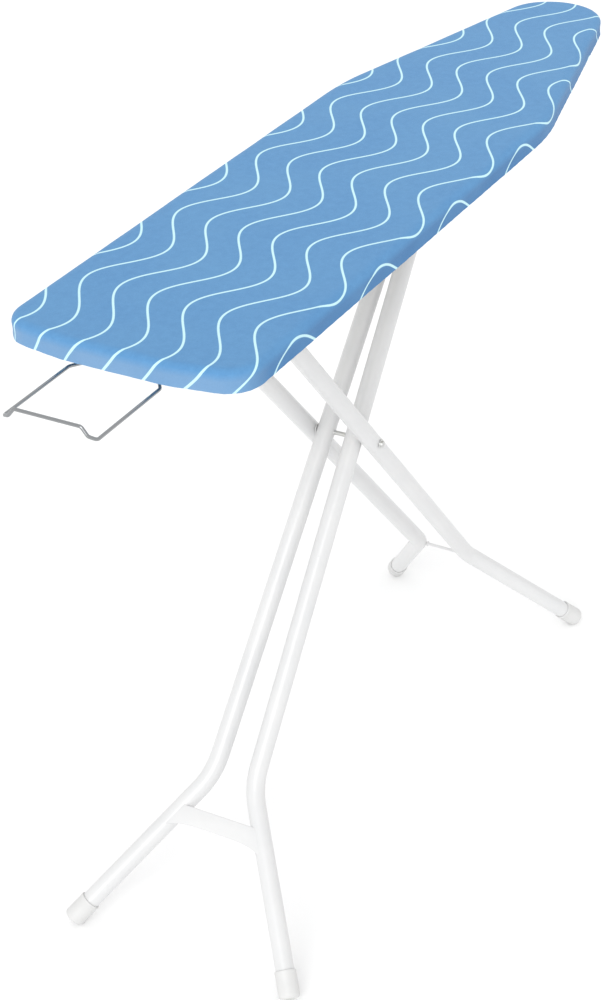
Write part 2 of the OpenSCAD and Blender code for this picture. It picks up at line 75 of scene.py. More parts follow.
# %% [markdown]
# ## The camera
# A camera needs a place, a direction and a lens. The board is seen from above its square end, a little to
# the right of it. Two angles turn the camera: the heading, round the vertical axis, and the tilt, down from
# the horizon. A long lens of 80 mm, from almost three metres away, keeps the long deck from looking
# stretched. The camera comes first, because every later piece is judged through it.

# %% Place the camera
MM = 0.001
camera_place = Vector((-2.280, -1.1555, 1.9542))
heading = math.radians(28.39)
tilt_down = math.radians(31.0)
roll = math.radians(-0.72)
lens_length = 80.15
sensor_width = 36
sideways_shift = -0.0015

forward = Vector((math.cos(tilt_down) * math.cos(heading), math.cos(tilt_down) * math.sin(heading),
                  -math.sin(tilt_down)))
level_right = Vector((math.sin(heading), -math.cos(heading), 0))
level_up = level_right.cross(forward)
right = math.cos(roll) * level_right + math.sin(roll) * level_up
up = math.cos(roll) * level_up - math.sin(roll) * level_right

bpy.ops.object.camera_add()
camera = bpy.context.object
camera.name = "studio_camera"
camera.matrix_world = Matrix((
    (right.x, up.x, -forward.x, camera_place.x),
    (right.y, up.y, -forward.y, camera_place.y),
    (right.z, up.z, -forward.z, camera_place.z),
    (0, 0, 0, 1),
))
camera.data.lens = lens_length
camera.data.sensor_width = sensor_width
camera.data.shift_x = sideways_shift
bpy.context.scene.camera = camera
print("camera at", [round(v, 2) for v in camera_place])

# %% [markdown]
# ## Small helpers for work in edit mode
# Most pieces here start as a primitive that is pushed into shape in edit mode, as one would by hand. An
# operator acts on whatever is selected, so each piece starts with nothing selected, and its corners are
# then picked by where they are. A few short helpers keep that readable.

# %% Helpers: add, take, join and edit a piece
weld_distance = 1e-6


def start_clean():
    """Leaves edit mode and selects nothing."""
    if bpy.context.object and bpy.context.object.mode != "OBJECT":
        bpy.ops.object.mode_set(mode="OBJECT")
    bpy.ops.object.select_all(action="DESELECT")


def new_piece(name, data):
    """Puts a new mesh or curve into the scene as an object."""
    piece = bpy.data.objects.new(name, data)
    bpy.context.scene.collection.objects.link(piece)
    return piece


def take(*pieces):
    """Selects these pieces and nothing else; the first is the active one."""
    start_clean()
    for piece in pieces:
        piece.select_set(True)
    bpy.context.view_layer.objects.active = pieces[0]


def join(*pieces):
    """Joins pieces into the first one and gives it back."""
    take(*pieces)
    bpy.ops.object.join()
    return bpy.context.object


def pick(piece, test):
    """In edit mode, selects the corners whose place passes the test, and nothing else."""
    bpy.ops.mesh.select_mode(type="VERT")
    bpy.ops.mesh.select_all(action="DESELECT")
    mesh = bmesh.from_edit_mesh(piece.data)
    for corner in mesh.verts:
        if test(corner.co):
            corner.select = True
    mesh.select_flush_mode()
    bmesh.update_edit_mesh(piece.data)


def edit(piece):
    """Takes one piece and enters edit mode with everything in it selected."""
    take(piece)
    bpy.ops.object.mode_set(mode="EDIT")
    bpy.ops.mesh.select_all(action="SELECT")


def apply_modifier(piece, kind, **settings):
    """Adds a modifier with its settings and applies it at once."""
    take(piece)
    modifier = piece.modifiers.new(kind.lower(), kind)
    for name, value in settings.items():
        setattr(modifier, name, value)
    bpy.ops.object.modifier_apply(modifier=modifier.name)


def tidy_mesh(piece, angle):
    """Welds doubles, turns all faces outward and shades smooth up to an angle in degrees."""
    edit(piece)
    bpy.ops.mesh.remove_doubles(threshold=weld_distance)
    bpy.ops.mesh.normals_make_consistent(inside=False)
    bpy.ops.object.mode_set(mode="OBJECT")
    bpy.ops.object.shade_smooth_by_angle(angle=math.radians(angle))


def settle(piece, name, body, material, stands_for=()):
    """Names a finished piece, puts its place into its mesh and lets it ride on its body."""
    start_clean()
    piece.name = name
    piece.data.name = name
    piece.data.transform(piece.matrix_world)
    piece.matrix_world = Matrix.Identity(4)
    piece.data.materials.clear()
    piece.data.materials.append(material)
    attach(piece, body)
    if stands_for:
        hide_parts(*stands_for)
    print(f"{name}: {len(piece.data.polygons)} faces on {body}")
    return piece


# %% [markdown]
# ## The studio
# The board stands on a plain pale floor, in the light of a bright room. Two lights are enough: an even sky
# all round, which fills every shadow, and one broad, soft sun from beyond the square end, which makes the
# end of the cover brighter than its top and rounds the tubes. A small lamp would give hard shadows instead.
# The plain "Standard" view keeps white things white.

# %% Build the studio
floor_size = 120
floor_gap = 0.5 * MM
floor_white = (0.94, 0.94, 0.94, 1)
sky_strength = 1.0
sun_strength = 1.3
sun_spread = math.radians(38)
sun_turn = (math.radians(12), math.radians(-60), 0)


def floor_paper():
    """Plain pale paper that can't be seen from below, so that the underside can be looked at."""
    paper = bpy.data.materials.new("floor_paper")
    paper.use_nodes = True
    tree = paper.node_tree
    shader = tree.nodes["Principled BSDF"]
    shader.inputs["Base Color"].default_value = floor_white
    shader.inputs["Roughness"].default_value = 0.9
    shader.inputs["Specular IOR Level"].default_value = 0.1
    mix, clear = tree.nodes.new("ShaderNodeMixShader"), tree.nodes.new("ShaderNodeBsdfTransparent")
    backfacing = tree.nodes.new("ShaderNodeNewGeometry").outputs["Backfacing"]
    tree.links.new(backfacing, mix.inputs[0])
    tree.links.new(shader.outputs[0], mix.inputs[1])
    tree.links.new(clear.outputs[0], mix.inputs[2])
    tree.links.new(mix.outputs[0], tree.nodes["Material Output"].inputs["Surface"])
    return paper


def studio():
    """Makes the floor, the sky and the soft sun."""
    bpy.context.scene.view_settings.view_transform = "Standard"
    bpy.ops.mesh.primitive_plane_add(size=floor_size, location=(0, 0, cad_low.z - floor_gap))
    floor = bpy.context.object
    floor.name = "studio_floor"
    floor.data.materials.append(floor_paper())
    world = bpy.data.worlds.new("even_sky")
    world.use_nodes = True
    sky = world.node_tree.nodes["Background"]
    sky.inputs["Color"].default_value = (1, 1, 1, 1)
    sky.inputs["Strength"].default_value = sky_strength
    bpy.context.scene.world = world
    bpy.ops.object.light_add(type="SUN", rotation=sun_turn)
    sun = bpy.context.object
    sun.name = "soft_sun"
    sun.data.energy = sun_strength
    sun.data.angle = sun_spread
    print("studio: floor", floor.name, "and light", sun.name)


start_clean()
studio()

# %% [markdown]
# ## Helpers for materials
# A material is a tree of nodes. Writing it as formulas is easier to follow than placing nodes one by one,
# so a small helper turns a sum or a product into a Math node, and another adds any node with its inputs.
# An effect that several materials share is a node group, with named sockets, that each material places
# with its own values. The Principled shader itself always stays in the material.

# %% Helpers: nodes, formulas and groups
def feed(tree, socket, value):
    """Joins a socket to another node's output, or sets it to a number or colour."""
    if isinstance(value, bpy.types.NodeSocket):
        tree.links.new(value, socket)
    else:
        socket.default_value = value


def add(tree, kind, links=None, **settings):
    """Adds a node, sets its properties and joins or sets its inputs, given by name or number."""
    node = tree.nodes.new(kind)
    for name, value in settings.items():
        setattr(node, name, value)
    for name, value in (links or {}).items():
        feed(tree, node.inputs[name], value)
    return node


def calc(tree, operation, *values):
    """A Math node: joins or sets its inputs in order and gives its result."""
    node = add(tree, "ShaderNodeMath", dict(enumerate(values)), operation=operation)
    return node.outputs[0]


def blend_colours(tree, share, first, second):
    """Mixes two colours, by a share from 0 to 1."""
    node = tree.nodes.new("ShaderNodeMix")
    node.data_type = "RGBA"
    for socket, value in zip((node.inputs[0], node.inputs[6], node.inputs[7]), (share, first, second)):
        feed(tree, socket, value)
    return node.outputs[2]


def scaled(tree, value, low, high, to_low=0.0, to_high=1.0):
    """Maps a value from one range to another, and keeps it inside the new one."""
    ranges = {"Value": value, "From Min": low, "From Max": high, "To Min": to_low, "To Max": to_high}
    return add(tree, "ShaderNodeMapRange", ranges).outputs[0]


def noise_value(tree, vector, scale, detail=3.0, roughness=0.55):
    """Noise of a given fineness, in repeats per metre."""
    links = {"Vector": vector, "Scale": scale, "Detail": detail, "Roughness": roughness}
    return add(tree, "ShaderNodeTexNoise", links).outputs[0]


def new_group(name, inputs, outputs):
    """Starts a node group with named float or vector inputs and float outputs."""
    tree = bpy.data.node_groups.new(name, "ShaderNodeTree")
    for label, value in inputs.items():
        kind = "NodeSocketVector" if value is None else "NodeSocketFloat"
        socket = tree.interface.new_socket(label, in_out="INPUT", socket_type=kind)
        if value is not None:
            socket.default_value = value
    for label in outputs:
        tree.interface.new_socket(label, in_out="OUTPUT", socket_type="NodeSocketFloat")
    return tree, tree.nodes.new("NodeGroupInput").outputs, tree.nodes.new("NodeGroupOutput").inputs


def place(tree, group, **inputs):
    """Places a node group in a material; underscores in the names stand for spaces."""
    node = tree.nodes.new("ShaderNodeGroup")
    node.node_tree = group
    for name, value in inputs.items():
        feed(tree, node.inputs[name.replace("_", " ")], value)
    return node.outputs


def new_material(name, **constants):
    """Starts a material; constants set the Principled shader's own sockets, such as Coat_Weight."""
    material = bpy.data.materials.new(name)
    material.use_nodes = True
    tree = material.node_tree
    shader = tree.nodes["Principled BSDF"]
    for socket, value in constants.items():
        shader.inputs[socket.replace("_", " ")].default_value = value
    coordinates = tree.nodes.new("ShaderNodeTexCoord").outputs["Object"]
    return material, tree, shader, coordinates


def bump(tree, shader, height, distance, strength):
    """Turns a height from 0 to 1 into a relief of that real depth, in metres."""
    node = add(tree, "ShaderNodeBump", {"Height": height, "Distance": distance, "Strength": strength})
    tree.links.new(node.outputs[0], shader.inputs["Normal"])


# %% [markdown]
# ## Four shared effects
# Weave: threads that pass over and under each other are bumps on a chequerboard, which the product of two
# sine waves gives; a little noise makes thick and thin places in the yarn. Grain: two sizes of noise, the
# skin of powder coat or moulded plastic. Wear: finishes chip in small specks that come in clusters, so one
# noise makes the specks and a slower one says where they are. Dust: it settles on faces that look up, in
# patches.

# %% Shared effects as node groups
def weave_group():
    """Plain weave: Height of the threads and a Tint that varies from yarn to yarn."""
    tree, given, gives = new_group("plain_weave", {"Vector": None, "Threads": 1500.0}, ["Height", "Tint"])
    axes = add(tree, "ShaderNodeSeparateXYZ", {"Vector": given["Vector"]}).outputs
    turn = calc(tree, "MULTIPLY", given["Threads"], math.pi)
    along = calc(tree, "SINE", calc(tree, "MULTIPLY", axes["X"], turn))
    across = calc(tree, "SINE", calc(tree, "MULTIPLY", axes["Y"], turn))
    over = calc(tree, "MULTIPLY_ADD", calc(tree, "MULTIPLY", along, across), 0.5, 0.5)
    slub = noise_value(tree, given["Vector"], 420.0)
    height = calc(tree, "MULTIPLY_ADD", slub, 0.35, calc(tree, "MULTIPLY", over, 0.65))
    tree.links.new(height, gives["Height"])
    tree.links.new(noise_value(tree, given["Vector"], 90.0, 5.0, 0.7), gives["Tint"])
    return tree


def grain_group():
    """Fine grain on a soft waviness: Height for a bump and Patches for slow changes of finish."""
    inputs = {"Vector": None, "Fine": 900.0, "Broad": 70.0}
    tree, given, gives = new_group("fine_grain", inputs, ["Height", "Patches"])
    fine = noise_value(tree, given["Vector"], given["Fine"], 2.0)
    broad = noise_value(tree, given["Vector"], given["Broad"], 2.0)
    height = calc(tree, "MULTIPLY_ADD", fine, 0.45, calc(tree, "MULTIPLY", broad, 0.55))
    tree.links.new(height, gives["Height"])
    tree.links.new(noise_value(tree, given["Vector"], 14.0, 5.0, 0.6), gives["Patches"])
    return tree


def wear_group():
    """Small chips where the finish was knocked: Mask is 1 in a few specks, most of them in clusters."""
    tree, given, gives = new_group("knocks", {"Vector": None, "Amount": 0.5}, ["Mask"])
    specks = scaled(tree, noise_value(tree, given["Vector"], 420.0, 3.0, 0.6), 0.69, 0.72)
    clusters = scaled(tree, noise_value(tree, given["Vector"], 16.0, 2.0), 0.56, 0.62)
    worn = calc(tree, "MULTIPLY", calc(tree, "MULTIPLY", specks, clusters), given["Amount"])
    tree.links.new(worn, gives["Mask"])
    return tree


def dust_group():
    """Dust on faces that look up: Mask grows with how level the face is, in patches."""
    tree, given, gives = new_group("settled_dust", {"Vector": None, "Amount": 0.2}, ["Mask"])
    normal = add(tree, "ShaderNodeNewGeometry").outputs["Normal"]
    upward = scaled(tree, add(tree, "ShaderNodeSeparateXYZ", {"Vector": normal}).outputs["Z"], 0.3, 1.0)
    patches = scaled(tree, noise_value(tree, given["Vector"], 35.0, 6.0, 0.65), 0.35, 0.75)
    dust = calc(tree, "MULTIPLY", calc(tree, "MULTIPLY", upward, patches), given["Amount"])
    tree.links.new(dust, gives["Mask"])
    return tree


weave, grain, wear, dust = weave_group(), grain_group(), wear_group(), dust_group()
print("shared effects:", [group.name for group in (weave, grain, wear, dust)])

# %% [markdown]
# ## The wave print on the cotton
# The cover is blue cotton printed with thin pale waves that run along the board. An image could hold them,
# but a formula stays sharp at any distance: each wave is a cosine, the next one lies a fixed step to its
# side, and each crest sits a little further along than its neighbour's. The distance from a point to the
# nearest wave, divided by the slope there, gives a line of even width. The formula reads a UV map that
# holds the cloth as it lay flat, so the lines run on unbroken over the edge and down the skirt. The top has
# faded in patches, in the light and under the iron. Down the skirt the blue is painted: paler at the square
# end, as painted light where the sun falls on it, and deeper along the sides, as painted shade.

# %% The printed cotton
wave_step = 46.2 * MM
wave_height = 22.75 * MM
wave_length = 198.7 * MM
wave_start = 134.0 * MM
wave_side = 7.8 * MM
wave_shift = 0.0866
line_half = 1.55 * MM
line_soft = 0.35 * MM
line_ragged = 0.3 * MM
yarn_blue = ((0.089, 0.262, 0.516, 1), (0.11, 0.302, 0.571, 1))
faded_blue = (0.136, 0.337, 0.578, 1)
# The next two colours are painted shade for the skirt's sides and painted light for its square end.
painted_shade_side_blue = (0.058, 0.198, 0.43, 1)
painted_light_end_blue = (0.19, 0.345, 0.56, 1)
line_white = (0.58, 0.88, 0.94, 1)
threads_per_metre = 1400.0
thread_relief = 0.16 * MM


def printed_lines(tree, cloth):
    """1 on a printed line and 0 on the ground, from the flat cloth position in metres."""
    axes = add(tree, "ShaderNodeSeparateXYZ", {"Vector": cloth}).outputs
    side = calc(tree, "SUBTRACT", axes["Y"], wave_side)
    from_end = calc(tree, "SUBTRACT", axes["X"], cover_low.x + wave_start)
    along = calc(tree, "MULTIPLY_ADD", side, -wave_shift, from_end)
    phase = calc(tree, "MULTIPLY", along, 2 * math.pi / wave_length)
    row = calc(tree, "MULTIPLY_ADD", calc(tree, "COSINE", phase), -wave_height, side)
    rows = calc(tree, "DIVIDE", row, wave_step)
    away = calc(tree, "ABSOLUTE", calc(tree, "SUBTRACT", rows, calc(tree, "ROUND", rows)))
    steep = calc(tree, "MULTIPLY", calc(tree, "SINE", phase), wave_height * 2 * math.pi / wave_length)
    steepness = calc(tree, "SQRT", calc(tree, "MULTIPLY_ADD", steep, steep, 1.0))
    distance = calc(tree, "DIVIDE", calc(tree, "MULTIPLY", away, wave_step), steepness)
    ragged = noise_value(tree, cloth, 1100.0, 2.0)
    distance = calc(tree, "MULTIPLY_ADD", ragged, line_ragged, distance)
    return scaled(tree, distance, line_half + line_soft, line_half - line_soft)


def cover_cotton():
    """Blue cotton with the wave print, faded in patches, with painted light on the skirt at the square end and
    painted shade down the sides.
    """
    material, tree, shader, place_on = new_material("cover_cotton", Roughness=0.86, Sheen_Weight=0.12,
                                                    Sheen_Roughness=0.4)
    cloth = add(tree, "ShaderNodeUVMap", uv_map="print").outputs[0]
    threads = place(tree, weave, Vector=cloth, Threads=threads_per_metre)
    blue = blend_colours(tree, scaled(tree, threads["Tint"], 0.3, 0.7), *yarn_blue)
    faded = scaled(tree, noise_value(tree, cloth, 7.0, 4.0, 0.5), 0.4, 0.75, 0.0, 0.35)
    blue = blend_colours(tree, faded, blue, faded_blue)
    axes = add(tree, "ShaderNodeSeparateXYZ", {"Vector": place_on}).outputs
    # Painted light and shade on the skirt: paler at the square end, where the sun falls, and a deeper blue along
    # the sides, in their shade.
    skirt = scaled(tree, axes["Z"], cover_high.z - 4 * MM, cover_high.z - 13 * MM)
    uneven_skirt_share = scaled(tree, noise_value(tree, cloth, 16.0, 3.0), 0.3, 0.7, 0.6, 1.0)
    at_end = scaled(tree, axes["X"], cover_low.x + 65 * MM, cover_low.x + 20 * MM)
    skirt_light_and_shade = blend_colours(tree, at_end, painted_shade_side_blue, painted_light_end_blue)
    blue = blend_colours(tree, calc(tree, "MULTIPLY", skirt, uneven_skirt_share), blue, skirt_light_and_shade)
    lines = printed_lines(tree, cloth)
    colour = blend_colours(tree, lines, blue, line_white)
    # Painted shade: the colour is darkened in the gaps between the threads.
    thread_gap_shade = calc(tree, "MULTIPLY_ADD", threads["Height"], 0.3, 0.78)
    shaded = add(tree, "ShaderNodeVectorMath", {0: colour, "Scale": thread_gap_shade}, operation="SCALE").outputs[0]
    tree.links.new(shaded, shader.inputs["Base Color"])
    inked = calc(tree, "MULTIPLY_ADD", lines, -0.18, 0.9)
    tree.links.new(calc(tree, "MULTIPLY_ADD", threads["Tint"], 0.08, inked), shader.inputs["Roughness"])
    bump(tree, shader, threads["Height"], thread_relief, 0.8)
    return material


# %% [markdown]
# ## The other finishes
# The legs wear a gloss powder coat: white, very slightly uneven, with the "orange peel" of melted powder,
# and a clear top layer of gloss. Hidden fittings are zinc plated, which is a bright grey metal with a
# cloudy, faintly brushed skin. The iron rest is chrome. The foot caps are waxy white polyethylene, the
# slide bushes and the grip are dark nylon, the pad is matted felt, and the band that gathers the hem is
# knitted elastic. Each finish is one short function, and its colours are named first.

# %% Paint, metals, plastics, felt and elastic
white_coat = ((0.635, 0.64, 0.645, 1), (0.68, 0.68, 0.68, 1))
cloudy_zinc = ((0.56, 0.58, 0.6, 1), (0.68, 0.67, 0.63, 1))
dark_mirror = ((0.31, 0.32, 0.33, 1), (0.2, 0.19, 0.18, 1))
cream_felt = ((0.68, 0.65, 0.58, 1), (0.8, 0.78, 0.72, 1))
# The darker tone of the elastic is painted shade for the hollows between its ribs.
elastic_rib_shade_and_white = ((0.5, 0.5, 0.49, 1), (0.82, 0.82, 0.8, 1))
dull_spots = {"coat": (0.4, 0.4, 0.39, 1), "zinc": (0.36, 0.34, 0.32, 1), "felt": (0.4, 0.38, 0.36, 1)}
dust_grey = {"coat": (0.6, 0.58, 0.54, 1), "plastic": (0.5, 0.48, 0.45, 1)}


def powder_coat():
    """White gloss powder coat with orange peel, grey where it is chipped and dull where dust lies."""
    material, tree, shader, place_on = new_material("powder_coat", Coat_Weight=0.35, Coat_Roughness=0.12)
    skin = place(tree, grain, Vector=place_on, Fine=1200.0, Broad=380.0)
    colour = blend_colours(tree, scaled(tree, skin["Patches"], 0.3, 0.7), *white_coat)
    chipped = place(tree, wear, Vector=place_on, Amount=0.55)["Mask"]
    colour = blend_colours(tree, chipped, colour, dull_spots["coat"])
    dusty = place(tree, dust, Vector=place_on, Amount=0.1)["Mask"]
    tree.links.new(blend_colours(tree, dusty, colour, dust_grey["coat"]), shader.inputs["Base Color"])
    tree.links.new(scaled(tree, skin["Patches"], 0.3, 0.7, 0.28, 0.4), shader.inputs["Roughness"])
    bump(tree, shader, skin["Height"], 0.06 * MM, 0.2)
    return material


def zinc_plate():
    """Bright zinc on steel: cloudy, faintly brushed and a little yellow in places."""
    material, tree, shader, place_on = new_material("zinc_plate", Metallic=1.0)
    drawn_out = add(tree, "ShaderNodeMapping", {"Vector": place_on, "Scale": (1.0, 6.0, 9.0)}).outputs[0]
    brushed = noise_value(tree, drawn_out, 260.0, 4.0)
    clouds = place(tree, grain, Vector=place_on, Fine=700.0, Broad=90.0)
    colour = blend_colours(tree, scaled(tree, clouds["Patches"], 0.35, 0.65), *cloudy_zinc)
    chipped = place(tree, wear, Vector=place_on, Amount=0.6)["Mask"]
    tree.links.new(blend_colours(tree, chipped, colour, dull_spots["zinc"]), shader.inputs["Base Color"])
    tree.links.new(scaled(tree, clouds["Patches"], 0.3, 0.7, 0.26, 0.44), shader.inputs["Roughness"])
    bump(tree, shader, calc(tree, "MULTIPLY_ADD", brushed, 0.5, clouds["Height"]), 0.03 * MM, 0.4)
    return material


def bright_chrome():
    """Chrome wire: a dark mirror with faint draw marks and small dull spots."""
    material, tree, shader, place_on = new_material("bright_chrome", Metallic=1.0)
    skin = place(tree, grain, Vector=place_on, Fine=1500.0, Broad=240.0)
    spots = scaled(tree, noise_value(tree, place_on, 900.0, 5.0, 0.7), 0.66, 0.74)
    tree.links.new(blend_colours(tree, spots, *dark_mirror), shader.inputs["Base Color"])
    rough = scaled(tree, skin["Patches"], 0.3, 0.7, 0.1, 0.2)
    tree.links.new(calc(tree, "MULTIPLY_ADD", spots, 0.2, rough), shader.inputs["Roughness"])
    bump(tree, shader, skin["Height"], 0.015 * MM, 0.3)
    return material


def moulded(name, light, dark, rough, scuff):
    """Moulded plastic: grained skin with scuffs, and dust on top."""
    material, tree, shader, place_on = new_material(name, Specular_IOR_Level=0.45)
    skin = place(tree, grain, Vector=place_on, Fine=2200.0, Broad=520.0)
    colour = blend_colours(tree, scaled(tree, skin["Patches"], 0.3, 0.7), dark, light)
    scuffed = place(tree, wear, Vector=place_on, Amount=0.7)["Mask"]
    colour = blend_colours(tree, scuffed, colour, scuff)
    dusty = place(tree, dust, Vector=place_on, Amount=0.05)["Mask"]
    tree.links.new(blend_colours(tree, dusty, colour, dust_grey["plastic"]), shader.inputs["Base Color"])
    tree.links.new(scaled(tree, skin["Patches"], 0.3, 0.7, rough - 0.06, rough + 0.08),
                   shader.inputs["Roughness"])
    bump(tree, shader, skin["Height"], 0.05 * MM, 0.5)
    return material


def pad_felt():
    """Cream felt of matted fibres, with darker flecks."""
    material, tree, shader, place_on = new_material("pad_felt", Roughness=0.95, Sheen_Weight=0.3)
    skin = place(tree, grain, Vector=place_on, Fine=1600.0, Broad=240.0)
    flecks = scaled(tree, noise_value(tree, place_on, 700.0, 6.0, 0.8), 0.62, 0.72)
    colour = blend_colours(tree, skin["Patches"], *cream_felt)
    tree.links.new(blend_colours(tree, flecks, colour, dull_spots["felt"]), shader.inputs["Base Color"])
    bump(tree, shader, skin["Height"], 0.5 * MM, 0.8)
    return material


def knitted_elastic():
    """White elastic: ribs that run along the band, with the rubber's small waves across them."""
    material, tree, shader, _ = new_material("knitted_elastic", Roughness=0.8, Sheen_Weight=0.2)
    band = add(tree, "ShaderNodeUVMap", uv_map="seam").outputs[0]
    threads = place(tree, weave, Vector=band, Threads=900.0)
    # Painted shade: the white is darker in the hollows between the ribs.
    tree.links.new(blend_colours(tree, threads["Height"], *elastic_rib_shade_and_white), shader.inputs["Base Color"])
    bump(tree, shader, threads["Height"], 0.3 * MM, 0.9)
    return material


materials = {
    "cover_fabric": cover_cotton(),
    "elastic": knitted_elastic(),
    "pad_foam": pad_felt(),
    "white_paint": powder_coat(),
    "zinc_steel": zinc_plate(),
    "chrome_wire": bright_chrome(),
    "white_plastic": moulded("white_polyethylene", (0.66, 0.66, 0.655, 1), (0.61, 0.61, 0.605, 1), 0.42,
                             (0.55, 0.55, 0.53, 1)),
    "grey_plastic": moulded("dark_nylon", (0.13, 0.135, 0.145, 1), (0.09, 0.095, 0.1, 1), 0.5,
                            (0.3, 0.3, 0.3, 1)),
}
for part in frame["record"]["subparts"]:
    node_mesh = nodes[part["node"]].data
    node_mesh.materials.clear()
    node_mesh.materials.append(materials[part["material_slot"]])
print(len(materials), "finishes, on all", len(nodes), "nodes")

# %% [markdown]
# ## The outline of the deck
# Every layer of the deck has the same outline: a nearly straight square end, two tight corners, straight
# sides, a long shoulder and a round nose. Four arcs and the straight lines that touch them describe it.
# Walking round it in even steps of about five millimetres gives points with the direction outward at each,
# and moving the points inward along those directions gives the outline of any inner layer.

# %% Walk round the outline
half_width = cover_high.y
deck_top = cover_high.z
skirt_bottom = cover_low.z
end_radius, end_side = 120 * MM, 55 * MM
corner_radius, corner_back = 42 * MM, 8 * MM
shoulder_radius, shoulder_x = 400 * MM, 765 * MM
nose_radius = 71 * MM
end_arc = (Vector((cover_low.x + end_radius, end_side)), end_radius)
corner_arc = (Vector((cover_low.x + corner_radius + corner_back, half_width - corner_radius)), corner_radius)
shoulder_arc = (Vector((cover_low.x + shoulder_x, half_width - shoulder_radius)), shoulder_radius)
nose_arc = (Vector((cover_high.x - nose_radius, 0)), nose_radius)


def touch_angle(first, second):
    """Direction of the outward normal of the line that touches two arcs on their left side."""
    step = second[0] - first[0]
    return math.atan2(step.y, step.x) + math.acos((first[1] - second[1]) / step.length)


def walk_outline(pace=5 * MM):
    """Points along the left half and back along the right, each with its outward direction."""
    from_end = touch_angle(end_arc, corner_arc)
    to_nose = touch_angle(shoulder_arc, nose_arc)
    turns = [(end_arc, math.pi, from_end), (corner_arc, from_end, math.pi / 2),
             (shoulder_arc, math.pi / 2, to_nose), (nose_arc, to_nose, 0.0)]
    path = [(Vector((cover_low.x, 0)), Vector((-1, 0)))]
    for (centre, radius), first, last in turns:
        arc = [centre + radius * Vector((math.cos(a), math.sin(a))) for a in (first, last)]
        line = arc[0] - path[-1][0]
        paces = max(1, round(line.length / pace))
        outward = Vector((math.cos(first), math.sin(first)))
        path += [(path[-1][0] + line * k / paces, outward) for k in range(1, paces + 1)]
        paces = max(2, round(radius * abs(last - first) / pace))
        for k in range(1, paces + 1):
            turn = first + (last - first) * k / paces
            outward = Vector((math.cos(turn), math.sin(turn)))
            path.append((centre + radius * outward, outward))
    back = [(Vector((p.x, -p.y)), Vector((n.x, -n.y))) for p, n in reversed(path[1:-1])]
    return path + back


outline = walk_outline()
steps_round = [(outline[(k + 1) % len(outline)][0] - p).length for k, (p, _) in enumerate(outline)]
girth = sum(steps_round)
along_outline = [sum(steps_round[:k]) for k in range(len(outline) + 1)]
print(f"{len(outline)} points round the deck, {girth:.3f} m")

# %% [markdown]
# ## A loft: rings joined into a skin
# The cover, the pad and the elastic are all made the same way. A ring is the outline, moved in by some
# distance and set at some height, and neighbouring rings are joined by four-sided faces. This suits sewn
# work better than a subdivided box, because the faces follow the hem. Two UV maps are written on the way:
# "print" holds where each point was on the flat cloth, and "seam" holds how far round and how far in
# from the hem it is, for stitches.

# %% Loft rings into a piece
def loft(name, rings, cloth=None, seam=None):
    """Joins closed rings of points into a skin; cloth and seam give each ring's flat places, in metres."""
    mesh = bmesh.new()
    around = len(rings[0])
    corners = [[mesh.verts.new(point) for point in ring] for ring in rings]
    maps = {label: mesh.loops.layers.uv.new(label)
            for label, flat in (("print", cloth), ("seam", seam)) if flat is not None}
    for row in range(len(rings) - 1):
        for k in range(around):
            far = (k + 1) % around
            face = mesh.faces.new([corners[row][k], corners[row][far], corners[row + 1][far],
                                   corners[row + 1][k]])
            places = [(row, k), (row, k + 1), (row + 1, k + 1), (row + 1, k)]
            for loop, (ring, spot) in zip(face.loops, places):
                if cloth is not None:
                    loop[maps["print"]].uv = cloth[ring][spot % around]
                if seam is not None:
                    loop[maps["seam"]].uv = (along_outline[spot], seam[ring])
    skin = bpy.data.meshes.new(name)
    mesh.to_mesh(skin)
    mesh.free()
    return new_piece(name, skin)


def ring_at(inset, height):
    """The outline moved in by an inset, at a height."""
    return [Vector((*(point - outward * inset), height)) for point, outward in outline]


spine_start = 100 * MM
spine_ends = (cover_low.x + spine_start, nose_arc[0].x)


def toward_spine(point, share):
    """Moves a point of the outline in toward the deck's middle line, by a share from 0 to 1."""
    spine = Vector((min(max(point.x, spine_ends[0]), spine_ends[1]), 0))
    return point.lerp(spine, share)


# %% [markdown]
# ## The cover
# The cover is a sheet of printed cotton, drawn tight over the pad: flat on top, soft along the edge, down
# the skirt, and turned under the rim, where elastic gathers the hem into small pleats. A box with rounded
# edges would look like plastic. Here each stage of the cloth is a few rings of the loft: the top runs in to
# the middle line, the edge is a quarter round, and the pleats grow from nothing on the edge to full depth
# at the elastic. Slack shows as long soft waves, strongest where the cloth has to turn the corners.

# %% Loft the cover
edge_round = 9 * MM
skirt_height = deck_top - skirt_bottom
hem_width = 18 * MM
cloth_thick = 0.6 * MM
top_rings = 26
edge_rings = 6
skirt_rings = 4
pleat_length = 21 * MM
skirt_gather = 0.35
pleat_depth = 1.3 * MM
skirt_slack = 0.6 * MM
top_gap = 0.5 * MM
hem_rings = 7
hem_lift = 0.3 * MM
curl = 1.5 * MM
sharp_corner = math.radians(35)


def turning(k):
    """How sharply the outline turns at a point: 1 in the corners, near 0 along the sides."""
    before, after = outline[k - 3][1], outline[(k + 3) % len(outline)][1]
    return min(1.0, before.angle(after) / sharp_corner)


tightness = [sum(turning((k + j) % len(outline)) for j in range(-4, 5)) / 9 for k in range(len(outline))]


def pleat(k, depth):
    """Height of the gathers at a point of the hem: rounded folds of uneven width, deeper at the corners."""
    run = along_outline[k] / pleat_length
    wander = noise.noise(Vector((along_outline[k] * 9, 3.1, 0)))
    return depth * (0.35 + 0.65 * tightness[k]) * math.sin(2 * math.pi * (run + 0.9 * wander))


def slack(spot, edge):
    """Soft waves of the cloth on the pad; edge is 0 in the middle and 1 at the edge."""
    broad = noise.noise(Vector((spot.x * 5, spot.y * 9, 1.7)))
    fine = noise.noise(Vector((spot.x * 17 + spot.y * 9, spot.y * 21 - spot.x * 5, 5.3)))
    return (0.35 * broad + (0.15 + 0.3 * edge) * fine) * MM


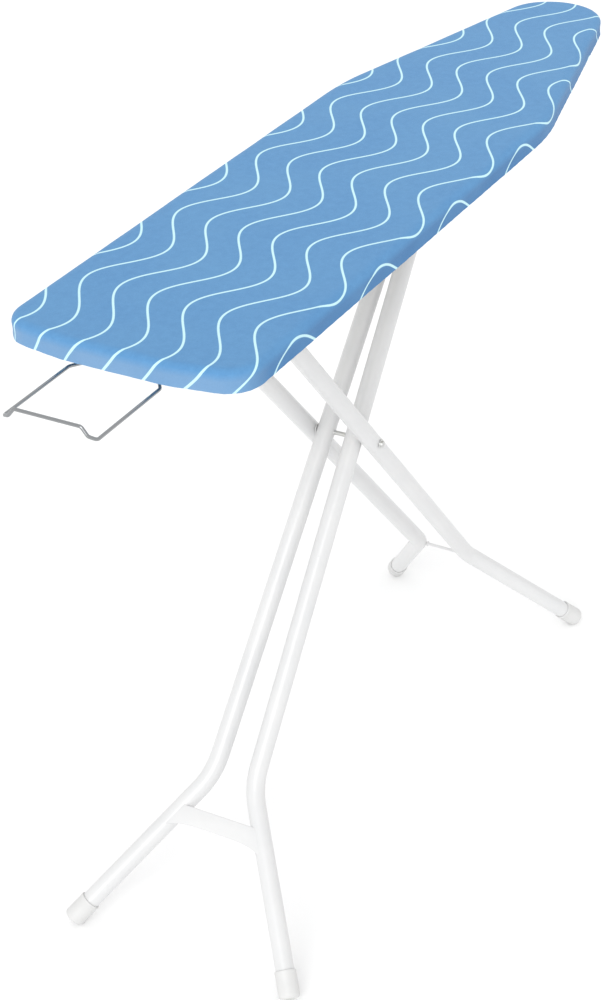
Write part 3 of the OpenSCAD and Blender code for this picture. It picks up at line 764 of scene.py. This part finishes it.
def cover_rings():
    """Rings of the cover from the middle line to the gathered hem, with the flat place of each."""
    rings, flats, seams = [], [], []
    cloth_out = edge_round * math.pi / 2
    hem_start = cloth_out + skirt_height - edge_round
    for row in range(top_rings):
        share = 1 - row / (top_rings - 1)
        ring = []
        for point, outward in outline:
            spot = toward_spine(point - outward * edge_round, share)
            ring.append(Vector((*spot, deck_top - top_gap + slack(spot, 1 - share))))
        rings.append(ring)
        flats.append([(spot.x, spot.y) for spot in ring])
        seams.append(hem_start + hem_width)
    for row in range(1, edge_rings + skirt_rings + hem_rings + 1):
        if row <= edge_rings:
            turn = row / edge_rings * math.pi / 2
            inset, drop = edge_round * (1 - math.sin(turn)), edge_round * (1 - math.cos(turn))
            travelled, gather = edge_round * turn, 0.0
        elif row <= edge_rings + skirt_rings:
            share = (row - edge_rings) / skirt_rings
            drop = edge_round + share * (skirt_height - edge_round - curl)
            inset = 0.5 * MM * math.sin(math.pi * share)
            travelled, gather = cloth_out + drop - edge_round, skirt_gather * share * share
        else:
            share = (row - edge_rings - skirt_rings) / hem_rings
            inset = hem_width * share
            drop = skirt_height - 0.2 * MM - 0.5 * MM * (1 - share)
            travelled, gather = hem_start + inset, skirt_gather + (1 - skirt_gather) * share
        ring, flat = [], []
        for k, (point, outward) in enumerate(outline):
            wave = noise.noise(Vector((along_outline[k] * 14, drop * 60, 8.8))) * skirt_slack
            fold = pleat(k, pleat_depth) * gather
            turned_under = inset >= 2 * MM
            out = 0.0 if turned_under else wave * min(1, drop / edge_round) + fold
            down = fold - hem_lift if turned_under else 0.0
            spot = point - outward * (inset - min(out, skirt_slack))
            cut = point + outward * (travelled - edge_round)
            lift = slack(point, 1) * max(0, 1 - drop / edge_round)
            ring.append(Vector((*spot, deck_top - top_gap - drop + lift + down)))
            flat.append((cut.x, cut.y))
        rings.append(ring)
        flats.append(flat)
        seams.append(hem_start + hem_width - travelled)
    return rings, flats, seams


rings, flats, seams = cover_rings()
cover = loft("cover_cloth", rings, flats, seams)
edit(cover)
bpy.ops.mesh.remove_doubles(threshold=0.01 * MM)
bpy.ops.mesh.normals_make_consistent(inside=False)
bpy.ops.object.mode_set(mode="OBJECT")
apply_modifier(cover, "SOLIDIFY", thickness=cloth_thick, offset=-1)
bpy.ops.object.shade_smooth_by_angle(angle=math.radians(50))
settle(cover, "cover_cloth", "deck", materials["cover_fabric"], ["cover"])

# %% [markdown]
# ## The pad
# Under the cotton lies a pad of felt, cut to the outline and a little smaller. It is a loft too, closed
# below: soft at the edge, and crowned by a fraction of a millimetre. It shows only from below, through the
# holes of the mesh top.

# %% Loft the pad
pad_low, pad_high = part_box("pad")
pad_inset = half_width - pad_high.y
pad_rows = 16
pad_round = 2 * MM
pad_crown = 0.3 * MM
pad_lumps = 0.2 * MM


def pad_rings():
    """Rings from the middle of the underside, round the soft edge, to the middle of the top."""
    thick = pad_high.z - pad_low.z
    rings = []
    for row in range(pad_rows + 1):
        share = 1 - row / pad_rows
        rings.append([Vector((*toward_spine(p - n * (pad_inset + pad_round), share), pad_low.z))
                      for p, n in outline])
    for turn in (math.radians(20 * k) for k in range(1, 9)):
        height = pad_low.z + thick * (1 - math.cos(turn)) / 2
        rings.append(ring_at(pad_inset + pad_round * (1 - math.sin(turn)), height))
    for row in range(pad_rows + 1):
        share = row / pad_rows
        ring = []
        for p, n in outline:
            spot = toward_spine(p - n * (pad_inset + pad_round), share)
            lump = pad_lumps * noise.noise(Vector((spot.x * 22, spot.y * 22, 0)))
            ring.append(Vector((*spot, pad_high.z + pad_crown * min(1, 3 * share) + lump)))
        rings.append(ring)
    return rings


pad = loft("felt_pad", pad_rings())
tidy_mesh(pad, 50)
settle(pad, "felt_pad", "deck", materials["pad_foam"], ["pad"])

# %% [markdown]
# ## The mesh top
# Steam has to pass through the deck, so its top is expanded metal: a sheet slit and stretched until the
# slits open into diamonds. Modelling thousands of holes with booleans would be slow. A grid turned by 45
# degrees and squeezed to half its width is already a field of diamonds; what lies outside the outline is
# deleted, and the Wireframe modifier turns the remaining edges into strands. A plain band of sheet steel
# along the edge closes it, where the real sheet is folded into the rim.

# %% Expand the metal
panel_low, panel_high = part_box("deck_panel")
diamond = 26 * MM
strand = 1.5 * MM
strand_flatness = 0.42
panel_inset = half_width - panel_high.y
border = 11 * MM
outline_points = np.array([tuple(point) for point, _ in outline])
outline_normals = np.array([tuple(outward) for _, outward in outline])


def inside(point, inset):
    """Whether a point lies inside the outline moved in by an inset."""
    away = (np.array((point.x, point.y)) - outline_points) * outline_normals
    return away.sum(axis=1).max() < -inset


start_clean()
deck_middle = (panel_low + panel_high) / 2
cells = 2 * math.ceil((panel_high.x - panel_low.x + 2 * (panel_high.y - panel_low.y)) / diamond / 2 + 1)
bpy.ops.mesh.primitive_grid_add(x_subdivisions=cells, y_subdivisions=cells, size=cells * diamond / 2 ** 0.5,
                                location=deck_middle)
mesh_top = bpy.context.object
mesh_top.data.transform(Matrix.Diagonal((1, 0.5, 1, 1)) @ Matrix.Rotation(math.radians(45), 4, "Z"))
mesh_top.data.transform(Matrix.Translation(deck_middle))
mesh_top.matrix_world = Matrix.Identity(4)
edit(mesh_top)
pick(mesh_top, lambda spot: not inside(spot, panel_inset + border / 2))
bpy.ops.mesh.delete(type="VERT")
bpy.ops.object.mode_set(mode="OBJECT")
apply_modifier(mesh_top, "WIREFRAME", thickness=strand, use_even_offset=False, use_replace=True)
edit(mesh_top)
bpy.ops.transform.resize(value=(1, 1, strand_flatness), center_override=deck_middle)
bpy.ops.object.mode_set(mode="OBJECT")
band_section = ((0, panel_low.z), (0, panel_high.z), (border, panel_high.z), (border, panel_low.z),
                (0, panel_low.z))
band = loft("band", [ring_at(panel_inset + inset, height) for inset, height in band_section])
tidy_mesh(band, 20)
join(mesh_top, band)
bpy.ops.object.shade_smooth_by_angle(angle=math.radians(20))
settle(mesh_top, "mesh_top", "deck", materials["white_paint"], ["deck_panel"])

# %% [markdown]
# ## The elastic
# A flat band of knitted elastic is sewn along the edge of the hem and pulls it in. It follows the same
# pleats as the cotton, only tighter, so it is lofted from the same outline, as a strip with a thickness.

# %% Loft the elastic
elastic_low, elastic_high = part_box("hem_elastic")
elastic_inset = half_width - elastic_high.y
elastic_width = 5.7 * MM
elastic_thick = 1.0 * MM
elastic_ruffle = 0.9 * MM
elastic_seam = [0, 1 * MM, 3 * MM, 6 * MM, 7 * MM, 10 * MM, 13 * MM]


def elastic_rings():
    """Rings of the band's cross section, riding on the pleats."""
    middle = (elastic_low.z + elastic_high.z) / 2
    half = elastic_thick / 2
    section = ((0, -half), (0, half), (elastic_width / 2, half * 1.2), (elastic_width, half),
               (elastic_width, -half), (elastic_width / 2, -half * 1.2), (0, -half))
    return [[spot + Vector((0, 0, pleat(k, elastic_ruffle)))
             for k, spot in enumerate(ring_at(elastic_inset + inset, middle + lift))]
            for inset, lift in section]


elastic = loft("gathered_elastic", elastic_rings(), seam=elastic_seam)
tidy_mesh(elastic, 40)
settle(elastic, "gathered_elastic", "deck", materials["elastic"], ["hem_elastic"])

# %% [markdown]
# ## The legs
# Each leg frame is a pair of steel tubes that lean over and spread apart, so a tube is easiest to draw in
# the plane of its own leg: sideways, and up the leg from the pivot where the frames cross. A factory bends
# a straight tube round a former and squeezes its top flat, and the same steps work here: a circle is
# extruded down to the bend, spun round the bend's centre, and extruded along the foot; the top ring is
# extruded up while it is squeezed, and ends in a rounded tongue. Then the drawing is leaned into place.

# %% Measures of the two leg frames
pivot = Vector(joints["inner_fold"]["pos_m"])
hinge = Vector(joints["outer_fold"]["pos_m"])
crank = (hinge - pivot).length
crank_span = pivot.x - hinge.x
crank_rise = hinge.z - pivot.z
tube_radius = 12 * MM
cap_radius = 13.8 * MM
cap_edge = 5 * MM
tongue_thick = 4 * MM
tongue_radius = 15 * MM
flat_start = crank - 48 * MM
flat_end = crank - 26 * MM
cap_lap = 4 * MM


def leg_frame(lean, splay, pivot_half, bend_half, bend_height, bend_radius, to_top):
    """Works out one leg's drawing: all its places, sideways and up the leg, from the pivot."""
    lean, splay = math.radians(lean), math.radians(splay)
    down_to_bend = (pivot.z - bend_height) / math.cos(lean)
    tilt = math.atan((bend_half - pivot_half) / down_to_bend)
    drop = math.cos(splay) * math.cos(lean)
    rounding = (cap_radius - cap_edge) * math.sqrt(1 - drop * drop)
    return {
        "lean": lean, "splay": splay, "tilt": tilt, "pivot_half": pivot_half, "radius": bend_radius,
        "bend": Vector((bend_half, 0, -down_to_bend)),
        "up": Vector((-math.sin(tilt), 0, math.cos(tilt))),
        "down": Vector((math.sin(splay), 0, -math.cos(splay))),
        "tangent": bend_radius * math.tan((splay - tilt) / 2),
        "foot": (bend_height - cap_edge - rounding) / drop,
        "hole_forward": to_top * math.cos(lean) - crank_rise * math.sin(lean),
        "hole_up": to_top * math.sin(lean) + crank_rise * math.cos(lean),
    }


legs = {
    "inner": leg_frame(lean=39.98, splay=29.3, pivot_half=20.2 * MM, bend_half=29.0 * MM,
                       bend_height=187 * MM, bend_radius=110 * MM, to_top=crank_span),
    "outer": leg_frame(lean=-42.7, splay=26.0, pivot_half=46.2 * MM, bend_half=38.1 * MM,
                       bend_height=185 * MM, bend_radius=62 * MM, to_top=-crank_span),
}


def across_at(leg, height):
    """Sideways place of the tube's middle at a height up the leg."""
    return leg["pivot_half"] - height * math.tan(leg["tilt"])


def side_name(side):
    """Left is +Y and right is -Y."""
    return "left" if side > 0 else "right"


def lean_into_place(piece, leg, side):
    """Moves a drawing in the leg's plane (X sideways, Y backward, Z up the leg) to its place."""
    upright = Matrix(((0, 1, 0, 0), (side, 0, 0, 0), (0, 0, 1, 0), (0, 0, 0, 1)))
    piece.data.transform(Matrix.Translation(pivot) @ Matrix.Rotation(leg["lean"], 4, "Y") @ upright)
    edit(piece)
    bpy.ops.mesh.normals_make_consistent(inside=False)
    bpy.ops.object.mode_set(mode="OBJECT")


print("crank", round(crank, 4), "feet", [round(leg["foot"], 4) for leg in legs.values()])

# %% Bend a tube, as a pipe bender does
tube_sides = 40
bend_steps = 18
squeeze_steps = 5
tongue_steps = 8


def bend_tube(leg, side, name, body):
    """Draws one tube from its foot to its tongue and leans it into place."""
    start_clean()
    top = Vector((across_at(leg, flat_start), 0, flat_start))
    bpy.ops.mesh.primitive_circle_add(vertices=tube_sides, radius=tube_radius, location=(0, 0, 0))
    tube = bpy.context.object
    tube.data.transform(Matrix.Translation(top) @ Matrix.Rotation(-leg["tilt"], 4, "Y"))
    edit(tube)
    bend_start = leg["bend"] + leg["up"] * leg["tangent"]
    sideways = Vector((math.cos(leg["tilt"]), 0, math.sin(leg["tilt"])))
    straight = bend_start - top
    for _ in range(3):
        bpy.ops.mesh.extrude_region_move(TRANSFORM_OT_translate={"value": straight / 3})
    bpy.ops.mesh.spin(steps=bend_steps, angle=leg["splay"] - leg["tilt"], dupli=False,
                      center=bend_start + sideways * leg["radius"], axis=(0, 1, 0))
    reach = leg["down"] * (leg["foot"] - leg["tangent"] - cap_lap)
    for _ in range(3):
        bpy.ops.mesh.extrude_region_move(TRANSFORM_OT_translate={"value": reach / 3})
    bpy.ops.mesh.edge_face_add()
    flatten_top(tube, leg, top)
    bpy.ops.object.mode_set(mode="OBJECT")
    lean_into_place(tube, leg, side)
    tidy_mesh(tube, 40)
    node = f"{name}_leg_tube_{side_name(side)}"
    return settle(tube, "bent_" + node, body, materials["white_paint"], [node])


def flatten_top(tube, leg, top):
    """Extrudes the top ring upward while it is squeezed into a tongue with a rounded end."""
    pick(tube, lambda spot: (spot - top).length < 1.2 * tube_radius and spot.z > top.z - 2 * MM)
    thick, wide, middle, height = tube_radius, tube_radius, 0.0, flat_start
    stages = []
    hole_up, hole_forward = leg["hole_up"], leg["hole_forward"]
    for step in range(1, squeeze_steps + 1):
        share = step / squeeze_steps
        ease = share * share * (3 - 2 * share)
        front = tube_radius + ease * (hole_forward + tongue_radius - tube_radius)
        stages.append((tube_radius + ease * (tongue_thick / 2 - tube_radius), -tube_radius, front,
                       flat_start + share * (flat_end - flat_start)))
    stages.append((tongue_thick / 2, hole_forward - tongue_radius, hole_forward + tongue_radius, hole_up))
    for turn in range(1, tongue_steps + 1):
        angle = math.radians(88) * turn / tongue_steps
        reach = tongue_radius * math.cos(angle)
        stages.append((tongue_thick / 2, hole_forward - reach, hole_forward + reach,
                       hole_up + tongue_radius * math.sin(angle)))
    for new_thick, back, front, new_height in stages:
        new_wide, new_middle = (front - back) / 2, (front + back) / 2
        here = Vector((across_at(leg, height), middle, height))
        there = Vector((across_at(leg, new_height), new_middle, new_height))
        bpy.ops.mesh.extrude_region_move(TRANSFORM_OT_translate={"value": there - here})
        bpy.ops.transform.resize(value=(new_thick / thick, new_wide / wide, 1), center_override=there)
        thick, wide, middle, height = new_thick, new_wide, new_middle, new_height
    bpy.ops.mesh.edge_face_add()


for name, body in (("inner", "inner_leg"), ("outer", "outer_leg")):
    for side in (1, -1):
        bend_tube(legs[name], side, name, body)


# %% [markdown]
# ## Turned parts: foot caps and push caps
# A round part is a profile turned about its axis. The profile is a short chain of points, distance from
# the axis and place along it; spinning it once all the way round, and welding the seam, makes the part. The
# foot caps are plain plastic sleeves with a soft end and a small raised lip at the mouth. The push caps that
# lock the rods follow further on.

# %% Turn a profile
def turn_profile(name, profile, sides=40):
    """Spins a chain of (radius, height) points round the Z axis into a welded part."""
    mesh = bpy.data.meshes.new(name)
    points = [Vector((radius, 0, height)) for radius, height in profile]
    mesh.from_pydata(points, [(k, k + 1) for k in range(len(points) - 1)], [])
    part = new_piece(name, mesh)
    edit(part)
    bpy.ops.mesh.spin(steps=sides, angle=2 * math.pi, center=(0, 0, 0), axis=(0, 0, 1))
    bpy.ops.mesh.select_all(action="SELECT")
    bpy.ops.mesh.remove_doubles(threshold=0.002 * MM)
    bpy.ops.mesh.normals_make_consistent(inside=False)
    bpy.ops.object.mode_set(mode="OBJECT")
    return part


cap_mouth = 30 * MM
cap_bore = tube_radius + 0.05 * MM
cap_rim = cap_radius + 0.15 * MM
cap_neck = cap_radius - 0.15 * MM


def quarter_round(radius, edge, steps=8):
    """Points of a rounded corner, from the side of a part to its end."""
    return [(radius - edge + edge * math.cos(a), -edge * math.sin(a))
            for a in (math.pi / 2 * k / steps for k in range(steps + 1))]


def cap_profile():
    """Foot cap from the middle of its inside end, over the mouth, to the middle of its closed end."""
    inside = [(0, 1 * MM), (cap_bore, 1 * MM), (cap_bore, cap_mouth - 0.6 * MM)]
    lip = [(cap_bore + 0.5 * MM, cap_mouth), (cap_radius - 0.5 * MM, cap_mouth),
           (cap_rim, cap_mouth - 0.7 * MM), (cap_rim, cap_mouth - 3 * MM), (cap_neck, cap_mouth - 3.8 * MM)]
    return inside + lip + [(cap_radius, 12 * MM)] + quarter_round(cap_radius, cap_edge) + [(0, -cap_edge)]


for name, body in (("inner", "inner_leg"), ("outer", "outer_leg")):
    leg = legs[name]
    ring = leg["bend"] + leg["down"] * leg["foot"]
    for side in (1, -1):
        cap = turn_profile("cap", cap_profile())
        cap.data.transform(Matrix.Translation(ring) @ Matrix.Rotation(-leg["splay"], 4, "Y"))
        lean_into_place(cap, leg, side)
        bpy.ops.object.shade_smooth_by_angle(angle=math.radians(40))
        node = f"{name}_foot_cap_{side_name(side)}"
        settle(cap, "moulded_" + node, body, materials["white_plastic"], [node])


# %% [markdown]
# ## The crossbar and its welds
# A pressed steel plate joins the inner legs below their bends. Its top edge is straight, its lower edge is
# an arch that runs out along both feet. A box cut to this shape with booleans would leave ragged edges; here
# the shape is drawn flat as one face, extruded to its thickness, and a Bevel modifier rounds the edges that
# the press left. The welds that hold it, and the ones of the brace rod, are small uneven beads.

# %% Press the crossbar
plate_drop = 48 * MM
plate_height = 26 * MM
ear_length = 8 * MM
plate_front = -tube_radius + 0.6 * MM
plate_thick = 2.6 * MM
plate_top = legs["inner"]["bend"].z - plate_drop
plate_bevel = 0.7 * MM
arch_steps = 20
arch_inset = 7 * MM
arch_rise = 3 * MM
arch_depth = 6 * MM


def foot_across(drop):
    """Sideways place of the middle of an inner foot, at a drop below the bend."""
    return legs["inner"]["bend"].x + drop * math.tan(legs["inner"]["splay"])


def plate_outline():
    """Outline of the crossbar in the leg's plane: a straight top, and an arch between two long ears."""
    ear_drop = plate_height + ear_length
    points = [(foot_across(plate_drop), 0), (foot_across(plate_drop + ear_drop), -ear_drop)]
    arch_half = foot_across(plate_drop + plate_height) - arch_inset
    for k in range(arch_steps + 1):
        across = 1 - 2 * k / arch_steps
        points.append((across * arch_half, -plate_height + arch_rise - arch_depth * abs(across) ** 4))
    return points + [(-x, z) for x, z in reversed(points[:2])]


def press_crossbar():
    """Draws the plate, gives it thickness and rounds its edges."""
    mesh = bpy.data.meshes.new("plate")
    points = [Vector((x, plate_front, plate_top + z)) for x, z in plate_outline()]
    mesh.from_pydata(points, [], [list(range(len(points)))])
    plate = new_piece("plate", mesh)
    edit(plate)
    bpy.ops.mesh.extrude_region_move(TRANSFORM_OT_translate={"value": (0, plate_thick, 0)})
    bpy.ops.mesh.select_all(action="SELECT")
    bpy.ops.mesh.normals_make_consistent(inside=False)
    bpy.ops.object.mode_set(mode="OBJECT")
    apply_modifier(plate, "BEVEL", width=plate_bevel, segments=3, limit_method="ANGLE",
                   angle_limit=math.radians(35))
    lean_into_place(plate, legs["inner"], 1)
    bpy.ops.object.shade_smooth_by_angle(angle=math.radians(30))
    return settle(plate, "pressed_crossbar", "inner_leg", materials["white_paint"],
                  ["crossbar_plate"])


press_crossbar()

# %% [markdown]
# ## Weld beads
# Molten metal freezes in ripples, so a bead is a row of small overlapping drops. One drop is a low-sided
# ball; it is copied along the seam with a slight change of size at each step.

# %% Lay the weld beads
bead_radius = 1.5 * MM
bead_pace = 1.1 * MM
bead_unevenness = 0.22
brace_below_bend = 6 * MM


def weld(name, leg, body, seams):
    """Lays ripples of metal along each seam: a list of points in the leg's plane."""
    beads = []
    for route in seams:
        for first, second in zip(route, route[1:]):
            count = max(2, round((second - first).length / bead_pace))
            for k in range(count):
                spot = first.lerp(second, k / count)
                size = bead_radius * (1 + bead_unevenness * noise.noise(spot * 900))
                start_clean()
                bpy.ops.mesh.primitive_uv_sphere_add(segments=10, ring_count=6, radius=size, location=spot)
                beads.append(bpy.context.object)
    bead = join(*beads)
    bpy.ops.object.transform_apply(location=True, rotation=True, scale=True)
    lean_into_place(bead, leg, 1)
    bpy.ops.object.shade_smooth_by_angle(angle=math.radians(60))
    return settle(bead, name, body, materials["white_paint"])


def ring_points(centre, radius, axis_side, steps=12):
    """Points round the end of a rod that meets a tube, in the leg's plane."""
    return [centre + Vector((0.15 * radius * abs(math.sin(a)) * axis_side, radius * math.cos(a),
                             radius * math.sin(a)))
            for a in (2 * math.pi * k / steps for k in range(steps + 1))]


back = plate_front + plate_thick + 0.3 * MM
seams = [[Vector((side * (foot_across(drop) - 0.92 * tube_radius), back, legs["inner"]["bend"].z - drop))
          for drop in (plate_drop + 2 * MM, plate_drop + plate_height - 3 * MM)]
         for side in (1, -1)]
weld("crossbar_welds", legs["inner"], "inner_leg", seams)
brace_low, brace_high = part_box("brace_rod")
brace_radius = (brace_high.z - brace_low.z) / 2
brace_height = legs["outer"]["bend"].z - brace_below_bend
seams = [ring_points(Vector((side * brace_high.y, 0, brace_height)), brace_radius + 0.3 * MM, side)
         for side in (1, -1)]
weld("brace_welds", legs["outer"], "outer_leg", seams)

# %% [markdown]
# ## Caps on the rods
# The pivot rod and the hinge axle end in push caps, pressed from thin steel: a flat brim, a raised ring, and
# a dimple in the middle. Each is turned as a profile along the rod, and the four differ only in their place,
# so one function makes a pair.

# %% Press the caps on
cap_brim = 3.4 * MM
dimple_height = 3.3 * MM
cap_shape = ((0, 0.05), (3.2, 0), (3.45, 0.3), (3.3, 0.75), (2.0, 0.95), (1.55, 1.3), (1.4, 3.0), (1.1, 3.9),
             (0.4, 4.35), (-0.8, 4.3), (-1.5, 3.7), (-1.9, 3.4))


def push_cap_profile(bore):
    """Brim, raised ring and dimple of a pressed cap, from its underside to the middle of the dimple."""
    return [(bore + past * MM, height * MM) for past, height in cap_shape] + [(0, dimple_height)]


def cap_pair(node, name, body):
    """Makes the two caps that stand for one node, with their brims where the node's faces are."""
    low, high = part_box(node)
    inner_face = min(abs(v.co.y) for v in nodes[node].data.vertices)
    rod_radius = (high.x - low.x) / 2 - cap_brim
    pair = []
    for side in (1, -1):
        cap = turn_profile(name, push_cap_profile(rod_radius))
        middle = Vector(((low.x + high.x) / 2, side * inner_face, (low.z + high.z) / 2))
        cap.data.transform(Matrix.Translation(middle) @ Matrix.Rotation(-side * math.pi / 2, 4, "X"))
        pair.append(cap)
    join(*pair)
    tidy_mesh(pair[0], 35)
    return settle(pair[0], name, body, materials["zinc_steel"], [node])


cap_pair("pivot_caps", "pressed_pivot_caps", "outer_leg")
cap_pair("hinge_axle_caps", "pressed_axle_caps", "deck")

# %% [markdown]
# ## The iron rest
# The rest is one length of chromed wire. Its two arms slide in under the deck, and its outer end is bent up
# into a lip that stops the iron. A wire like this is a path and a round section. The path is a listed chain
# of corner points; each corner is replaced by an arc, as on a bending jig, and the finished path
# becomes a curve with a round bevel, which is then turned into a mesh.

# %% Bend the rest
rest_low, rest_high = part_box("iron_rest_wire")
wire_radius = 2 * MM
arm_height = rest_low.z + wire_radius
rest_half = rest_high.y - wire_radius
lip_x = rest_low.x + wire_radius
hook_x = rest_high.x - wire_radius
end_x = cover_low.x
half_route = [
    (hook_x, 53 * MM, 0, 0), (hook_x, 44 * MM, 0, 5 * MM), (end_x + 18.4 * MM, 44 * MM, 0, 8 * MM),
    (end_x + 1 * MM, rest_half, 0, 8 * MM), (lip_x + 4 * MM, rest_half, 0, 5 * MM),
    (lip_x, 48 * MM, 3.5 * MM, 6 * MM), (lip_x, 40.3 * MM, 13 * MM, 5 * MM),
]


def fillet(points, steps=8):
    """Replaces each corner of a chain of (x, y, z, radius) points by an arc of its radius."""
    path = []
    for k, (*place_at, radius) in enumerate(points):
        corner = Vector(place_at)
        if radius == 0:
            path.append(corner)
            continue
        backward = Vector(points[k - 1][:3]) - corner
        onward = Vector(points[k + 1][:3]) - corner
        reach = min(radius * math.tan((math.pi - backward.angle(onward)) / 2),
                    0.49 * backward.length, 0.49 * onward.length)
        first, last = corner + backward.normalized() * reach, corner + onward.normalized() * reach
        path += [first.lerp(corner, t).lerp(corner.lerp(last, t), t)
                 for t in (j / steps for j in range(steps + 1))]
    return path


def bend_wire(name, path, radius, sides=5):
    """Sweeps a round section along a path and turns the result into a closed mesh."""
    curve = bpy.data.curves.new(name, "CURVE")
    curve.dimensions = "3D"
    curve.bevel_depth = radius
    curve.bevel_resolution = sides
    curve.use_fill_caps = True
    spline = curve.splines.new("POLY")
    spline.points.add(len(path) - 1)
    for point, spot in zip(spline.points, path):
        point.co = (*spot, 1)
    take(new_piece(name, curve))
    bpy.ops.object.convert(target="MESH")
    tidy_mesh(bpy.context.object, 50)
    return bpy.context.object


full_route = half_route + [(x, -y, z, radius) for x, y, z, radius in reversed(half_route)]
rest_path = [spot + Vector((0, 0, arm_height)) for spot in fillet(full_route)]
rest = bend_wire("rest", rest_path, wire_radius)
settle(rest, "bent_rest_wire", "iron_rest", materials["chrome_wire"], ["iron_rest_wire"])

# %% [markdown]
# ## The lever's spring and grip
# The spring sits on the lever's pin. A coil is a small circle carried round an axis while it climbs, which
# is just what the Screw modifier does. The grip is a moulded sleeve with finger scallops: a box is cut into
# slices, every other cut is drawn in, and a Subdivision Surface melts the steps into waves.

# %% Wind the spring and mould the grip
spring_low, spring_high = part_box("lever_spring")
spring_wire = 0.8 * MM
spring_middle = (spring_low + spring_high) / 2
coil_radius = (spring_high.x - spring_low.x) / 2 - spring_wire
coil_turns = 4
coil_steps = 36
start_clean()
bpy.ops.mesh.primitive_circle_add(vertices=12, radius=spring_wire, rotation=(math.pi / 2, 0, 0),
                                  location=(coil_radius, 0, 0))
spring = bpy.context.object
bpy.ops.object.transform_apply(location=True, rotation=True, scale=True)
climb = (spring_high.y - spring_low.y - 2 * spring_wire) / coil_turns
apply_modifier(spring, "SCREW", axis="Z", screw_offset=climb, iterations=coil_turns,
               steps=coil_steps, render_steps=coil_steps, use_merge_vertices=True)
spring.data.transform(Matrix.Translation((spring_middle.x, spring_low.y + spring_wire, spring_middle.z))
                      @ Matrix.Rotation(-math.pi / 2, 4, "X"))
edit(spring)
bpy.ops.mesh.select_mode(type="EDGE")
bpy.ops.mesh.select_all(action="DESELECT")
bpy.ops.mesh.select_non_manifold()
bpy.ops.mesh.edge_face_add()
bpy.ops.object.mode_set(mode="OBJECT")
tidy_mesh(spring, 50)
settle(spring, "wound_lever_spring", "deck", materials["zinc_steel"], ["lever_spring"])

grip_low, grip_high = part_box("lever_grip")
grip_size = grip_high - grip_low
grip_middle = (grip_low + grip_high) / 2
slices = 10
end_pinch = 0.86
scallop_pinch = 0.9
grip_bevel = 2.2 * MM
start_clean()
bpy.ops.mesh.primitive_cube_add(size=1, location=(0, 0, 0))
grip = bpy.context.object
edit(grip)
bpy.ops.transform.resize(value=(grip_size.x, grip_size.y, grip_size.z), center_override=(0, 0, 0))
for k in range(1, slices):
    cut = -grip_size.y / 2 + grip_size.y * k / slices
    bpy.ops.mesh.select_all(action="SELECT")
    bpy.ops.mesh.bisect(plane_co=(0, cut, 0), plane_no=(0, 1, 0))
for k in range(slices + 1):
    cut = -grip_size.y / 2 + grip_size.y * k / slices
    drawn_in = end_pinch if k in (0, slices) else (scallop_pinch if k % 2 else 1.0)
    pick(grip, lambda spot: abs(spot.y - cut) < 0.1 * MM)
    bpy.ops.transform.resize(value=(drawn_in, 1, drawn_in), center_override=(0, cut, 0))
bpy.ops.object.mode_set(mode="OBJECT")
apply_modifier(grip, "BEVEL", width=grip_bevel, segments=3, limit_method="ANGLE",
               angle_limit=math.radians(50))
apply_modifier(grip, "SUBSURF", levels=2, render_levels=2)
grip.data.transform(Matrix.Translation(grip_middle))
tidy_mesh(grip, 60)
settle(grip, "scalloped_grip", "lever", materials["grey_plastic"], ["lever_grip"])
